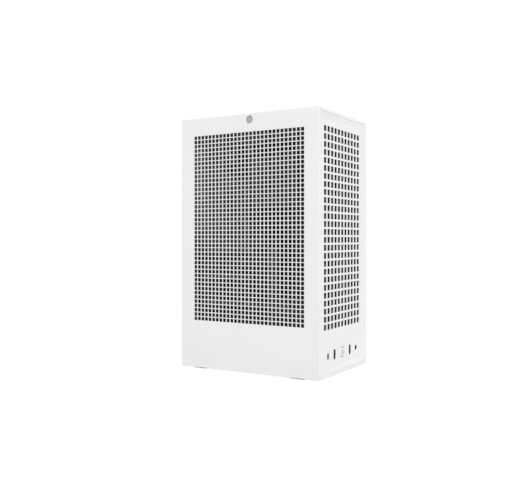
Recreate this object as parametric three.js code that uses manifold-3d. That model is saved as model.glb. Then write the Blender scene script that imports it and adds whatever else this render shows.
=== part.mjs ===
// A white upright network-storage enclosure: a folded steel chassis between two pull-off perforated
// side panels, a pull-off perforated front panel over a row of ports, a pull-up carry handle in the
// top, and inside it three drive sleds, a mainboard, a power supply and two fans.
// Millimetres, +Z up, the ports face -Y. The origin is the middle of the footprint, on the floor.
import * as THREE from "three";
import { mergeVertices } from "three/addons/utils/BufferGeometryUtils.js";
import Module from "manifold-3d";

const wasm = await Module();
wasm.setup();

// ---------------------------------------------------------------- driving dimensions
const WIDTH = 178;
const DEPTH = 253;
const HEIGHT = 409;
const FOOT = { height: 3, length: 26, width: 14, x: 72, yFront: -83.5, yRear: 97 };
const SHEET = 1.2; // steel sheet
const GAP = 0.5; // fitting gap between neighbouring pieces
const TRAY = 3.4; // how deep a side panel's folded edge is
const LIP = 4.7; // height of the top's and the floor's front and rear edges

const HALF_W = WIDTH / 2;
const HALF_D = DEPTH / 2;
const FLOOR = FOOT.height; // underside of the chassis
const INSIDE_X = HALF_W - TRAY - GAP; // half the width between the side panels

// Perforated fields. A real hole is 5.1 mm square at 7 mm; the solids carry coarse windows of
// the same open share over the same field.
const OPEN_SHARE = 0.52;
const SIDE_FIELD = { width: 201, height: 299, top: HEIGHT - 29.4, columns: 5, rows: 7 };
const FRONT_FIELD = { width: 132.4, height: 308.4, top: HEIGHT - 25.4, columns: 4, rows: 7 };

// The front panel's depths are from the enclosure's front edge. Its border is a narrow flat rim at the
// sides, an even narrower one at the top and bottom, and then the slope.
const FRONT = { set: 0.5, rimSide: 1.5, rimTop: 0.5, slope: 8, deep: 3.1, wall: 1.6, back: 9.5 };
const PORT_Z = 33.8; // height of the row of ports
const PORTS = { usbC: -52.5, usbA: 29, jack: 53.5 };
const BUTTON = { width: 15.5, height: 13.6, gap: 0.5 };
const PEG = { y: -5, z: 399.7, radius: 5.5, neck: 4.2, travel: 28 };
const HANDLE = { barLength: 112, barWidth: 12, legY: 50, leg: 8, travel: 28 };
const DECK_Z = 390;
const FRONT_FRAME_Y = -116;
const REAR_FRAME_Y = 118;
const FAN = { size: 120, depth: 25, bore: 57.5, hub: 20, blades: 9 };
const FRONT_FAN_Z = 320;
const REAR_FAN_Z = 135;
const PSU = { x0: -55, x1: 45, y0: -100.3, y1: -36.8, z0: 121, z1: 246 };
const CAGE = { x: 72, y0: -30, y1: 89.2, z0: 66, z1: 198, pitch: 42 };
const DRIVE = { length: 147, width: 101.6, height: 26.1 };
const STUD = { radius: 2.4, hole: 3.2, frontY: -110, rearY: 113.5, z: [40, 370], x: 78, faceZ: [16, 384] };
const BOARD = { x: 62.9, y0: -53.5, z0: 213, side: 170, thick: 1.6 };

// ---------------------------------------------------------------- shapes
// A closed geometry as a solid that can be cut and joined.
function solid(geometry) {
  const bare = geometry.clone();
  bare.deleteAttribute("normal");
  bare.deleteAttribute("uv");
  const welded = mergeVertices(bare, 1e-4);
  return new wasm.Manifold(
    new wasm.Mesh({
      numProp: 3,
      vertProperties: new Float32Array(welded.attributes.position.array),
      triVerts: new Uint32Array(welded.index.array),
    }),
  );
}

// A block between two opposite corners.
function block(x0, x1, y0, y1, z0, z1) {
  const box = new THREE.BoxGeometry(Math.abs(x1 - x0), Math.abs(y1 - y0), Math.abs(z1 - z0));
  return solid(box.translate((x0 + x1) / 2, (y0 + y1) / 2, (z0 + z1) / 2));
}

// A round bar along an axis, from one place on that axis to another. At is its other two places.
function rod(axis, from, to, at, radius, sides = 24) {
  const bar = new THREE.CylinderGeometry(radius, radius, Math.abs(to - from), sides);
  const middle = (from + to) / 2;
  if (axis === "x") bar.rotateZ(Math.PI / 2).translate(middle, at[0], at[1]);
  if (axis === "y") bar.translate(at[0], middle, at[1]);
  if (axis === "z") bar.rotateX(Math.PI / 2).translate(at[0], at[1], middle);
  return solid(bar);
}

// A four-sided pyramid stump between two upright rectangles, each {y, x, z0, z1}, x being half a width.
function stump(near, far) {
  const corners = (r) => [
    [-r.x, r.y, r.z0],
    [r.x, r.y, r.z0],
    [r.x, r.y, r.z1],
    [-r.x, r.y, r.z1],
  ];
  const points = [...corners(near), ...corners(far)].flat();
  const quads = [
    [0, 1, 2, 3],
    [7, 6, 5, 4],
    [0, 4, 5, 1],
    [1, 5, 6, 2],
    [2, 6, 7, 3],
    [3, 7, 4, 0],
  ];
  const shape = new THREE.BufferGeometry();
  shape.setAttribute("position", new THREE.Float32BufferAttribute(points, 3));
  shape.setIndex(quads.flatMap(([a, b, c, d]) => [a, b, c, a, c, d]));
  return solid(shape);
}

const join = (...shapes) => shapes.reduce((a, b) => a.add(b));
const cut = (body, ...tools) => tools.reduce((a, b) => a.subtract(b), body);

// Coarse windows over a field, as blocks to cut away. Make(u, v, halfU, halfV) gives one block.
function windows(field, make, openShare = OPEN_SHARE) {
  const { width, height, top, columns, rows, middle = 0 } = field;
  const stepU = width / columns;
  const stepV = height / rows;
  const shrink = Math.sqrt(openShare) / 2;
  const blocks = [];
  for (let column = 0; column < columns; column++) {
    for (let row = 0; row < rows; row++) {
      const u = middle - width / 2 + (column + 0.5) * stepU;
      const v = top - (row + 0.5) * stepV;
      blocks.push(make(u, v, stepU * shrink, stepV * shrink));
    }
  }
  return blocks;
}

// Windows through an upright sheet that faces along Y, or one that faces along X, or a level one.
const throughY = (y0, y1) => (u, v, a, b) => block(u - a, u + a, y0, y1, v - b, v + b);
const throughX = (x0, x1) => (u, v, a, b) => block(x0, x1, u - a, u + a, v - b, v + b);
const throughZ = (z0, z1) => (u, v, a, b) => block(u - a, u + a, v - b, v + b, z0, z1);

// ---------------------------------------------------------------- materials
const finish = (color, roughness, metalness) =>
  new THREE.MeshStandardMaterial({ color, roughness, metalness });
const WHITE_STEEL = finish(0xececec, 0.45, 0.1);
const BARE_STEEL = finish(0x9a9da0, 0.4, 0.9);
const BLACK_PLASTIC = finish(0x1c1c1d, 0.55, 0);
const WHITE_PLASTIC = finish(0xe9e9e9, 0.4, 0);
const GREY_PLASTIC = finish(0xa9a9aa, 0.4, 0);
const RUBBER = finish(0x8b8b8b, 0.85, 0);
const MESH_CLOTH = finish(0x161616, 0.9, 0);
const CIRCUIT_BOARD = finish(0x14251c, 0.5, 0);
const ALUMINIUM = finish(0xb4b7ba, 0.35, 0.9);
const BLACK_STEEL = finish(0x222324, 0.5, 0.3);

const enclosure = new THREE.Group();

// A solid as a named mesh of the enclosure.
function piece(name, shape, material) {
  const mesh = shape.getMesh();
  const points = new Float32Array(mesh.numVert * 3);
  for (let i = 0; i < mesh.numVert; i++) {
    points.set(mesh.vertProperties.subarray(i * mesh.numProp, i * mesh.numProp + 3), i * 3);
  }
  const geometry = new THREE.BufferGeometry();
  geometry.setAttribute("position", new THREE.BufferAttribute(points, 3));
  geometry.setIndex(new THREE.BufferAttribute(mesh.triVerts, 1));
  geometry.computeVertexNormals();
  const made = new THREE.Mesh(geometry, material);
  made.name = name;
  enclosure.add(made);
}

// ---------------------------------------------------------------- outer shell
// Where the panels' studs snap into the frames behind them: [y, z] on a side, [x, z] at the front.
const sideStuds = () => [STUD.frontY, STUD.rearY].flatMap((y) => STUD.z.map((z) => [y, z]));
const frontStuds = () => [-STUD.x, STUD.x].flatMap((x) => STUD.faceZ.map((z) => [x, z]));

// A side panel is a shallow tray of sheet whose folded edge points inwards.
function sidePanel(side) {
  const outer = side * HALF_W;
  const inner = side * (HALF_W - TRAY);
  const beyond = side * (HALF_W - TRAY - 5);
  const tray = cut(
    block(outer, inner, -HALF_D, HALF_D, FLOOR, HEIGHT),
    block(
      side * (HALF_W - SHEET),
      beyond,
      SHEET - HALF_D,
      HALF_D - SHEET,
      FLOOR + SHEET,
      HEIGHT - SHEET,
    ),
  );
  const studs = sideStuds().map((at) =>
    rod("x", side * (HALF_W - SHEET + 0.4), side * (HALF_W - 9), at, STUD.radius, 12),
  );
  return join(
    cut(
      tray,
      ...windows(SIDE_FIELD, throughX(side * (HALF_W + 1), beyond)),
      rod("x", side * (HALF_W + 1), beyond, [PEG.y, PEG.z], PEG.radius + GAP),
    ),
    ...studs,
  );
}
piece("left_side_panel", sidePanel(-1), WHITE_STEEL);
piece("right_side_panel", sidePanel(1), WHITE_STEEL);

// A dust filter is a framed sheet of fine mesh that lies in its side panel's tray.
function sideFilter(side) {
  const face = side * (HALF_W - SHEET - 0.3);
  const half = SIDE_FIELD.width / 2 + 6;
  const top = SIDE_FIELD.top + 6;
  return block(face, face - side * 0.8, -half, half, top - SIDE_FIELD.height - 12, top);
}
piece("left_dust_filter", sideFilter(-1), MESH_CLOTH);
piece("right_dust_filter", sideFilter(1), MESH_CLOTH);

// The front panel is a tray too: a sloped border runs in to the flat, perforated face.
function frontPanel() {
  const y = (deep) => deep - HALF_D;
  const z0 = FLOOR + LIP + GAP;
  const z1 = HEIGHT - LIP - GAP;
  const tray = block(-INSIDE_X, INSIDE_X, y(FRONT.set), y(FRONT.back), z0, z1);
  const ring = (depth, inSide, inTop) => ({
    y: y(depth),
    x: INSIDE_X - inSide,
    z0: z0 + inTop,
    z1: z1 - inTop,
  });
  const border = stump(
    ring(FRONT.set - 0.01, FRONT.rimSide, FRONT.rimTop),
    ring(FRONT.deep, FRONT.rimSide + FRONT.slope, FRONT.rimTop + FRONT.slope),
  );
  const behind = block(
    FRONT.wall - INSIDE_X,
    INSIDE_X - FRONT.wall,
    y(FRONT.deep + FRONT.wall),
    y(FRONT.back + 1),
    z0 + FRONT.wall,
    z1 - FRONT.wall,
  );
  const through = [y(0), y(FRONT.back)];
  const slot = (x, wide, high) =>
    block(x - wide / 2, x + wide / 2, ...through, PORT_Z - high / 2, PORT_Z + high / 2);
  const face = cut(
    tray,
    border,
    behind,
    ...windows(FRONT_FIELD, throughY(...through)),
    slot(PORTS.usbC, 5.4, 10.2),
    slot(-PORTS.usbA, 8, 15.5),
    slot(PORTS.usbA, 8, 15.5),
    slot(0, BUTTON.width + 2 * BUTTON.gap, BUTTON.height + 2 * BUTTON.gap),
    rod("y", ...through, [PORTS.jack, PORT_Z], 4),
  );
  const studs = frontStuds().map((at) =>
    rod("y", y(FRONT.deep + FRONT.wall - 0.4), FRONT_FRAME_Y + 2.8, at, STUD.radius, 12),
  );
  return join(face, ...studs);
}
piece("front_panel", frontPanel(), WHITE_STEEL);

const filterY = FRONT.deep + FRONT.wall + 0.3 - HALF_D;
piece(
  "front_dust_filter",
  block(-74, 74, filterY, filterY + 0.8, FRONT_FIELD.top - FRONT_FIELD.height - 6, FRONT_FIELD.top + 6),
  MESH_CLOTH,
);

// The floor turns up into a short lip at the front and rear, and a stiffening flange at each side.
function basePan() {
  const lip = (y0, y1) => block(-INSIDE_X, INSIDE_X, y0, y1, FLOOR, FLOOR + LIP);
  const flange = (side) =>
    block(side * INSIDE_X, side * (INSIDE_X - SHEET), -113, 113, FLOOR, FLOOR + 15);
  const floorField = { width: 140, height: 200, top: 100, columns: 4, rows: 5 };
  return cut(
    join(
      block(-INSIDE_X, INSIDE_X, -HALF_D, HALF_D, FLOOR, FLOOR + SHEET),
      lip(-HALF_D, SHEET - HALF_D),
      lip(HALF_D - SHEET, HALF_D),
      flange(-1),
      flange(1),
    ),
    ...windows({ ...floorField }, throughZ(FLOOR - 1, FLOOR + SHEET + 1), 0.3),
  );
}
piece("base_pan", basePan(), WHITE_STEEL);

const FEET = {
  front_left_foot: [-FOOT.x, FOOT.yFront],
  front_right_foot: [FOOT.x, FOOT.yFront],
  rear_left_foot: [-FOOT.x, FOOT.yRear],
  rear_right_foot: [FOOT.x, FOOT.yRear],
};
for (const [name, [x, y]] of Object.entries(FEET)) {
  const pad = block(
    x - FOOT.width / 2,
    x + FOOT.width / 2,
    y - FOOT.length / 2,
    y + FOOT.length / 2,
    0,
    FLOOR - 0.3,
  );
  piece(name, pad, RUBBER);
}

// The top is a sheet with a lip at the front and rear, vents, and a hole for the handle's tray.
function topCover() {
  const lip = (y0, y1) => block(-INSIDE_X, INSIDE_X, y0, y1, HEIGHT - LIP, HEIGHT);
  const skin = [HEIGHT - SHEET - 1, HEIGHT + 1];
  const vents = (middle) => ({ middle, width: 48, height: 176, top: 88, columns: 2, rows: 7 });
  return cut(
    join(
      block(-INSIDE_X, INSIDE_X, -HALF_D, HALF_D, HEIGHT - SHEET, HEIGHT),
      lip(-HALF_D, SHEET - HALF_D),
      lip(HALF_D - SHEET, HALF_D),
    ),
    ...windows(vents(-48), throughZ(...skin)),
    ...windows(vents(48), throughZ(...skin)),
    block(-17, 17, -62, 62, ...skin),
  );
}
piece("top_cover", topCover(), WHITE_STEEL);

// ---------------------------------------------------------------- handle and headset pegs
const TRAY_Z = 392.9;
const legHole = (y, z0, z1) => {
  const half = HANDLE.leg / 2 + GAP;
  return block(-half, half, y - half, y + half, z0, z1);
};

function handleTray() {
  return cut(
    block(-18.2, 18.2, -63.2, 63.2, TRAY_Z, HEIGHT - SHEET - 0.3),
    block(-17, 17, -62, 62, TRAY_Z + SHEET, HEIGHT),
    legHole(-HANDLE.legY, TRAY_Z - 1, TRAY_Z + 2),
    legHole(HANDLE.legY, TRAY_Z - 1, TRAY_Z + 2),
  );
}
piece("handle_tray", handleTray(), WHITE_PLASTIC);

function carryHandle() {
  const barTop = HEIGHT - 0.3;
  const stopTop = DECK_Z - HANDLE.travel - 0.3;
  const bar = block(
    -HANDLE.barWidth / 2,
    HANDLE.barWidth / 2,
    -HANDLE.barLength / 2,
    HANDLE.barLength / 2,
    barTop - 6,
    barTop,
  );
  const half = HANDLE.leg / 2;
  const leg = (y) => block(-half, half, y - half, y + half, stopTop - 3, barTop - 3);
  const stop = (y) => block(-7, 7, y - 7, y + 7, stopTop - 3, stopTop);
  return join(
    bar,
    leg(-HANDLE.legY),
    leg(HANDLE.legY),
    stop(-HANDLE.legY),
    stop(HANDLE.legY),
  );
}
piece("carry_handle", carryHandle(), WHITE_STEEL);

// A peg slides out of its sleeve; the neck behind its head keeps a headband from slipping off.
function peg(side) {
  const at = [PEG.y, PEG.z];
  const x = (deep) => side * (HALF_W - deep);
  return join(
    rod("x", x(0), x(4), at, PEG.radius),
    rod("x", x(3), x(30), at, PEG.neck),
    rod("x", x(29), x(36), at, PEG.radius),
  );
}

function pegSleeve(side) {
  const at = [PEG.y, PEG.z];
  const x = (deep) => side * (HALF_W - deep);
  return cut(
    join(
      rod("x", x(5), x(40), at, PEG.radius + 1.4),
      block(x(5), x(40), PEG.y - 5, PEG.y + 5, DECK_Z + SHEET + 0.3, PEG.z - 3),
    ),
    rod("x", x(4), x(41), at, PEG.radius + 0.3),
  );
}
for (const [name, side] of [
  ["left", -1],
  ["right", 1],
]) {
  piece(`${name}_headset_peg`, peg(side), GREY_PLASTIC);
  piece(`${name}_peg_sleeve`, pegSleeve(side), BLACK_PLASTIC);
}

// ---------------------------------------------------------------- inner frames
function topDeck() {
  const flange = (side) =>
    block(side * 85, side * (85 - SHEET), -112, 114, DECK_Z - 8, DECK_Z + SHEET);
  const vents = (middle) => ({ middle, width: 60, height: 196, top: 98, columns: 2, rows: 6 });
  const through = throughZ(DECK_Z - 1, DECK_Z + SHEET + 1);
  return cut(
    join(block(-85, 85, -114, 117, DECK_Z, DECK_Z + SHEET), flange(-1), flange(1)),
    ...windows(vents(-47), through, 0.4),
    ...windows(vents(47), through, 0.4),
    legHole(-HANDLE.legY, DECK_Z - 1, DECK_Z + 2),
    legHole(HANDLE.legY, DECK_Z - 1, DECK_Z + 2),
  );
}
piece("top_deck", topDeck(), WHITE_STEEL);

// Nine windows in front of a fan.
const fanGrille = (z) => ({ width: 114, height: 114, top: z + 57, columns: 3, rows: 3 });

// Holes through both of a frame's flanges, for the side panels' studs.
const sideStudHoles = (y) =>
  [-1, 1].flatMap((side) =>
    STUD.z.map((z) => rod("x", side * 83, side * 86, [y, z], STUD.hole, 12)),
  );

function frontFrame() {
  const y0 = FRONT_FRAME_Y;
  const flange = (side) => block(side * 85, side * (85 - SHEET), y0, y0 + 12, 19, 381);
  const through = [y0 - 1, y0 + SHEET + 1];
  const hole = (x, wide, high) =>
    block(x - wide / 2, x + wide / 2, ...through, PORT_Z - high / 2, PORT_Z + high / 2);
  const psuWindows = { width: 110, height: 130, top: 250, columns: 3, rows: 4 };
  return cut(
    join(block(-85, 85, y0, y0 + SHEET, 4.6, DECK_Z - GAP), flange(-1), flange(1)),
    ...windows(fanGrille(FRONT_FAN_Z), throughY(...through), 0.75),
    ...windows(psuWindows, throughY(...through), 0.7),
    hole(PORTS.usbC, 6, 12),
    hole(-PORTS.usbA, 10, 18),
    hole(PORTS.usbA, 10, 18),
    hole(0, 14, 14),
    rod("y", ...through, [PORTS.jack, PORT_Z], 5),
    ...frontStuds().map((at) => rod("y", ...through, at, STUD.hole, 12)),
    ...sideStudHoles(STUD.frontY),
  );
}
piece("front_frame", frontFrame(), WHITE_STEEL);

const IO = { x0: 18.6, x1: 63, z0: 218.5, z1: 377.2 }; // the rear port opening
const SLOT_X = [5, -15.3];
const INLET = { x: -45, z: 36, wide: 27, high: 20 };

function rearFrame() {
  const y0 = REAR_FRAME_Y;
  const flange = (side) => block(side * 85, side * (85 - SHEET), y0 + SHEET, y0 - 10, 19, 381);
  const through = [y0 - 1, y0 + SHEET + 1];
  const vent = { middle: -55, width: 42, height: 150, top: 372, columns: 2, rows: 7 };
  return cut(
    join(block(-85, 85, y0, y0 + SHEET, 4.6, HEIGHT - SHEET - GAP), flange(-1), flange(1)),
    block(IO.x0, IO.x1, ...through, IO.z0, IO.z1),
    ...SLOT_X.map((x) => block(x - 6.5, x + 6.5, ...through, 224, 330)),
    ...windows(fanGrille(REAR_FAN_Z), throughY(...through), 0.75),
    ...windows(vent, throughY(...through), 0.45),
    block(INLET.x - 14.3, INLET.x + 14.3, ...through, INLET.z - 10.8, INLET.z + 10.8),
    ...sideStudHoles(STUD.rearY),
  );
}
piece("rear_frame", rearFrame(), WHITE_STEEL);

// The mainboard's tray, with the four spacers that are pressed into it.
function mainboardTray() {
  const { x, y0, z0, side, thick } = BOARD;
  const face = x + thick + 6.3;
  const spots = [
    [y0 + 10, z0 + 6.4],
    [y0 + 10, z0 + side - 6.4],
    [y0 + side - 10, z0 + 6.4],
    [y0 + side - 10, z0 + side - 6.4],
  ];
  return join(
    block(face, face + SHEET, y0 - 3, 117.4, z0 - 3, z0 + side + 6),
    block(face, face + 10, 116.2, 117.4, z0 - 3, z0 + side + 6),
    ...spots.map((at) => rod("x", x + thick + 0.3, face + 0.5, at, 3, 6)),
  );
}
piece("mainboard_tray", mainboardTray(), WHITE_STEEL);

// ---------------------------------------------------------------- fans
// A square fan frame with a round bore, and four struts that hold the hub's seat. The air leaves
// at its far side, which is the one with the struts.
function fanFrame(z, y0) {
  const half = FAN.size / 2;
  const y1 = y0 + FAN.depth;
  const strut = (angle) => {
    const arm = new THREE.BoxGeometry(FAN.bore + 1, 2.5, 3).translate((FAN.bore + 1) / 2, 0, 0);
    return solid(arm.rotateY(angle).translate(0, y1 - 1.25, z));
  };
  const corner = half - 7.5;
  const screwHoles = [-1, 1].flatMap((a) =>
    [-1, 1].map((b) => rod("y", y0 - 1, y1 + 1, [a * corner, z + b * corner], 2.2, 8)),
  );
  return cut(
    join(
      cut(
        block(-half, half, y0, y1, z - half, z + half),
        rod("y", y0 - 1, y1 + 1, [0, z], FAN.bore, 36),
      ),
      ...[45, 135, 225, 315].map((degrees) => strut(THREE.MathUtils.degToRad(degrees))),
      rod("y", y1 - 2.5, y1, [0, z], FAN.hub, 24),
    ),
    ...screwHoles,
  );
}

// A hub with pitched blades, turning about an axis along Y. Reach is the blades' radius.
function rotor(x, z, y0, y1, hub, reach, count, pitch) {
  const depth = y1 - y0;
  const blades = [];
  for (let i = 0; i < count; i++) {
    const blade = new THREE.BoxGeometry(reach - hub + 1.5, 1.6, depth * 0.95);
    blade.rotateX(pitch).translate((reach + hub - 1.5) / 2, 0, 0);
    blade.rotateY((i / count) * 2 * Math.PI).translate(x, (y0 + y1) / 2, z);
    blades.push(solid(blade).intersect(block(x - 70, x + 70, y0, y1, z - 70, z + 70)));
  }
  return join(rod("y", y0, y1, [x, z], hub, 24), ...blades);
}

const FRONT_FAN_Y = FRONT_FRAME_Y + SHEET + 0.5;
const REAR_FAN_Y = REAR_FRAME_Y - 0.5 - FAN.depth;
for (const [name, z, y0] of [
  ["front_fan", FRONT_FAN_Z, FRONT_FAN_Y],
  ["rear_fan", REAR_FAN_Z, REAR_FAN_Y],
]) {
  piece(`${name}_frame`, fanFrame(z, y0), BLACK_PLASTIC);
  const blades = rotor(0, z, y0 + 1.5, y0 + 21, FAN.hub - 0.5, 55.5, FAN.blades, 0.6);
  piece(`${name}_rotor`, blades, BLACK_PLASTIC);
}

// ---------------------------------------------------------------- power supply
// A sheet box whose fan is let into its front face. The fan's back carries the hub on four struts.
const PSU_FAN = { x: (PSU.x0 + PSU.x1) / 2, z: (PSU.z0 + PSU.z1) / 2, bore: 44, depth: 18, hub: 15 };
const PSU_PORT = { y: -68, socketZ: 222, rockerZ: 192, rockerX: PSU.x0 - 0.5 };

function psuCase() {
  const { x0, x1, y0, y1, z0, z1 } = PSU;
  const { x, z, bore, depth, hub } = PSU_FAN;
  const seat = y0 + depth;
  const room = (fromY, toY, fromZ, toZ) => block(x0 + SHEET, x1 - SHEET, fromY, toY, fromZ, toZ);
  const airways = cut(
    rod("y", seat - 3, seat + 1, [x, z], bore - 2, 36),
    rod("y", seat - 4, seat + 2, [x, z], hub + 1),
    block(x - bore, x + bore, seat - 4, seat + 2, z - 1.5, z + 1.5),
    block(x - 1.5, x + 1.5, seat - 4, seat + 2, z - bore, z + bore),
  );
  const { y, socketZ, rockerZ } = PSU_PORT;
  return cut(
    block(x0, x1, y0, y1, z0, z1),
    rod("y", y0 - 1, seat - 2, [x, z], bore, 36),
    airways,
    room(seat, y1 - SHEET, z0 + SHEET, z1 - SHEET),
    room(y0 + SHEET, seat + 1, z0 + SHEET, z - bore - 3),
    room(y0 + SHEET, seat + 1, z + bore + 3, z1 - SHEET),
    block(x0 - 1, x0 + SHEET + 1, y - 13.4, y + 13.4, rockerZ - 12.4, socketZ + 12.4),
  );
}
piece("power_supply_case", psuCase(), BLACK_STEEL);
piece(
  "power_supply_rotor",
  rotor(PSU_FAN.x, PSU_FAN.z, PSU.y0 + 1.5, PSU.y0 + 15, PSU_FAN.hub, 42, 7, 0.55),
  BLACK_PLASTIC,
);

// The circuit board inside, with its heat sink, transformer and main capacitor.
function psuBoard() {
  const { x0, x1, y1, z0, z1 } = PSU;
  const face = y1 - 5;
  return join(
    block(x0 + 4, x1 - 4, face, face + 1.6, z0 + 4, z1 - 4),
    block(-2, 24, face - 24, face + 0.5, 156, 192),
    block(-32, -28, face - 30, face + 0.5, 132, 176),
    rod("y", face - 28, face + 0.5, [26, 222], 13),
  );
}
piece("power_supply_board", psuBoard(), CIRCUIT_BOARD);

// One moulding holds the supply's mains socket and the well of its rocker switch.
function psuSocket() {
  const { x0 } = PSU;
  const { y, socketZ, rockerZ } = PSU_PORT;
  return cut(
    join(
      block(x0 - 2.3, x0 - 0.3, y - 15, y + 15, rockerZ - 14, socketZ + 14),
      block(x0 - 1, x0 + 18, y - 13, y + 13, rockerZ - 12, socketZ + 12),
    ),
    block(x0 - 3, x0 + 16, y - 12, y + 12, socketZ - 8, socketZ + 8),
    block(x0 - 3, x0 + 12, y - 7, y + 7, rockerZ - 10.5, rockerZ + 10.5),
  );
}
piece("power_supply_socket", psuSocket(), BLACK_PLASTIC);

function psuRocker() {
  const { y, rockerX, rockerZ } = PSU_PORT;
  const beyond = (from, to) => block(from, to, y - 8, y + 8, rockerZ - 9, rockerZ + 9);
  return cut(
    rod("y", y - 6.2, y + 6.2, [rockerX, rockerZ], 8, 20),
    beyond(rockerX + 3, rockerX + 9),
    beyond(rockerX - 9, rockerX - 3),
  );
}
piece("power_supply_rocker", psuRocker(), BLACK_PLASTIC);

// The mains socket in the rear frame: a flange outside, and a hollow body through the sheet.
function rearInlet() {
  const { x, z, wide, high } = INLET;
  const outside = REAR_FRAME_Y + SHEET + 0.3;
  return cut(
    join(
      block(x - 18, x + 18, outside, outside + 2, z - 13, z + 13),
      block(x - wide / 2, x + wide / 2, 100, outside + 1, z - high / 2, z + high / 2),
    ),
    block(x - 12, x + 12, 104, outside + 3, z - 8, z + 8),
  );
}
piece("mains_inlet", rearInlet(), BLACK_PLASTIC);

// A bent strip that carries the power supply from the front frame.
function psuBracket() {
  const x0 = PSU.x1 + 0.4;
  return join(
    block(x0, x0 + SHEET, FRONT_FRAME_Y + SHEET + 0.3, PSU.y1, PSU.z0, PSU.z1),
    block(x0, x0 + 14, FRONT_FRAME_Y + SHEET + 0.3, FRONT_FRAME_Y + 2 * SHEET + 0.3, PSU.z0, PSU.z1),
  );
}
piece("power_supply_bracket", psuBracket(), WHITE_STEEL);

// ---------------------------------------------------------------- drives
function driveCage() {
  const { x, y0, y1, z0, z1 } = CAGE;
  const tube = cut(
    block(-x, x, y0, y1, z0, z1),
    block(-x - 1, x + 1, y0 + SHEET, y1 - SHEET, z0 + SHEET, z1 - SHEET),
  );
  const skirt = (y) => block(-x, x, y, y + SHEET, FLOOR + SHEET + 0.4, z0 + SHEET);
  const air = { width: 130, height: z1 - z0 - 12, top: z1 - 6, columns: 3, rows: 3 };
  const low = { width: 130, height: 48, top: 62, columns: 4, rows: 1 };
  const through = throughY(y0 - 1, y1 + 1);
  return cut(
    join(tube, skirt(y0), skirt(y1 - SHEET)),
    ...windows(air, through, 0.5),
    ...windows(low, through, 0.5),
  );
}
piece("drive_cage", driveCage(), WHITE_STEEL);

const BAY_MIDDLE_Y = (CAGE.y0 + CAGE.y1) / 2;
const bayZ = (bay) => CAGE.z0 + SHEET + 3 + bay * CAGE.pitch;

// A sled carries its drive by both edges, and its left end is a face with a finger opening.
function driveSled(bay) {
  const z = bayZ(bay);
  const half = (CAGE.y1 - CAGE.y0) / 2 - SHEET - 0.8;
  const [y0, y1] = [BAY_MIDDLE_Y - half, BAY_MIDDLE_Y + half];
  return cut(
    join(
      block(-75, 70, y0, y1, z, z + 1.5),
      block(-75, 70, y0, y0 + 3, z, z + 16),
      block(-75, 70, y1 - 3, y1, z, z + 16),
      block(-78, -74.5, y0, y1, z, z + 36),
    ),
    block(-79, -74, BAY_MIDDLE_Y - 18, BAY_MIDDLE_Y + 18, z + 12, z + 26),
    block(-60, 55, BAY_MIDDLE_Y - 20, BAY_MIDDLE_Y + 20, z - 1, z + 2),
  );
}

function hardDrive(bay) {
  const z = bayZ(bay) + 1.8;
  const x0 = -72.5;
  const [y0, y1] = [BAY_MIDDLE_Y - DRIVE.width / 2, BAY_MIDDLE_Y + DRIVE.width / 2];
  const middle = [x0 + 62, BAY_MIDDLE_Y];
  return join(
    block(x0, x0 + DRIVE.length, y0, y1, z, z + DRIVE.height - 2),
    block(x0 + 3, x0 + DRIVE.length - 3, y0 + 3, y1 - 3, z, z + DRIVE.height - 0.8),
    rod("z", z, z + DRIVE.height, middle, 22, 24),
  );
}
for (const bay of [0, 1, 2]) {
  piece(`drive_sled_${bay + 1}`, driveSled(bay), BLACK_PLASTIC);
  piece(`hard_drive_${bay + 1}`, hardDrive(bay), ALUMINIUM);
}

// The backplane's sockets take the drives' connectors as the sleds go home.
function backplane() {
  const socket = (bay) =>
    block(75.2, 78.6, BAY_MIDDLE_Y - 22, BAY_MIDDLE_Y + 22, bayZ(bay) + 4, bayZ(bay) + 10);
  return join(
    block(78.2, 79.8, CAGE.y0 + 4, CAGE.y1 - 4, CAGE.z0, CAGE.z1),
    ...[0, 1, 2].map(socket),
  );
}
piece("backplane", backplane(), CIRCUIT_BOARD);

// ---------------------------------------------------------------- mainboard
function mainboard() {
  const { x, y0, z0, side, thick } = BOARD;
  return join(
    block(x, x + thick, y0, y0 + side, z0, z0 + side),
    block(x - 8, x + 1, y0 + 2, y0 + 12, z0 + 40, z0 + 92), // main power header
    block(x - 6, x + 1, y0 + 22, y0 + 110, z0 + 6, z0 + 14), // expansion socket
    block(x - 5, x + 1, y0 + 2, y0 + 12, z0 + 100, z0 + 126), // drive headers
  );
}
piece("mainboard", mainboard(), CIRCUIT_BOARD);

const CPU = { y: 28, z: 312, size: 88 };
function heatsink() {
  const half = CPU.size / 2;
  const x1 = BOARD.x - 0.3;
  const fins = [];
  const count = 15;
  for (let i = 0; i < count; i++) {
    const z = CPU.z - half + (i / (count - 1)) * (CPU.size - 1.4);
    fins.push(block(x1 - 34, x1 - 5, CPU.y - half, CPU.y + half, z, z + 1.4));
  }
  return join(
    block(x1 - 9, x1 - 4, CPU.y - half, CPU.y + half, CPU.z - half, CPU.z + half),
    block(x1 - 5, x1, CPU.y - 20, CPU.y + 20, CPU.z - 20, CPU.z + 20),
    ...fins,
  );
}
piece("processor_heatsink", heatsink(), ALUMINIUM);

for (const stick of [0, 1]) {
  const y = -32 + stick * 9;
  const shape = join(
    block(BOARD.x - 31, BOARD.x - 0.3, y - 0.7, y + 0.7, 240, 373),
    block(BOARD.x - 8, BOARD.x - 0.3, y - 3, y + 3, 236, 377),
    block(BOARD.x - 27, BOARD.x - 12, y - 1.8, y + 1.8, 246, 367),
  );
  piece(`memory_module_${stick + 1}`, shape, CIRCUIT_BOARD);
}

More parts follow.
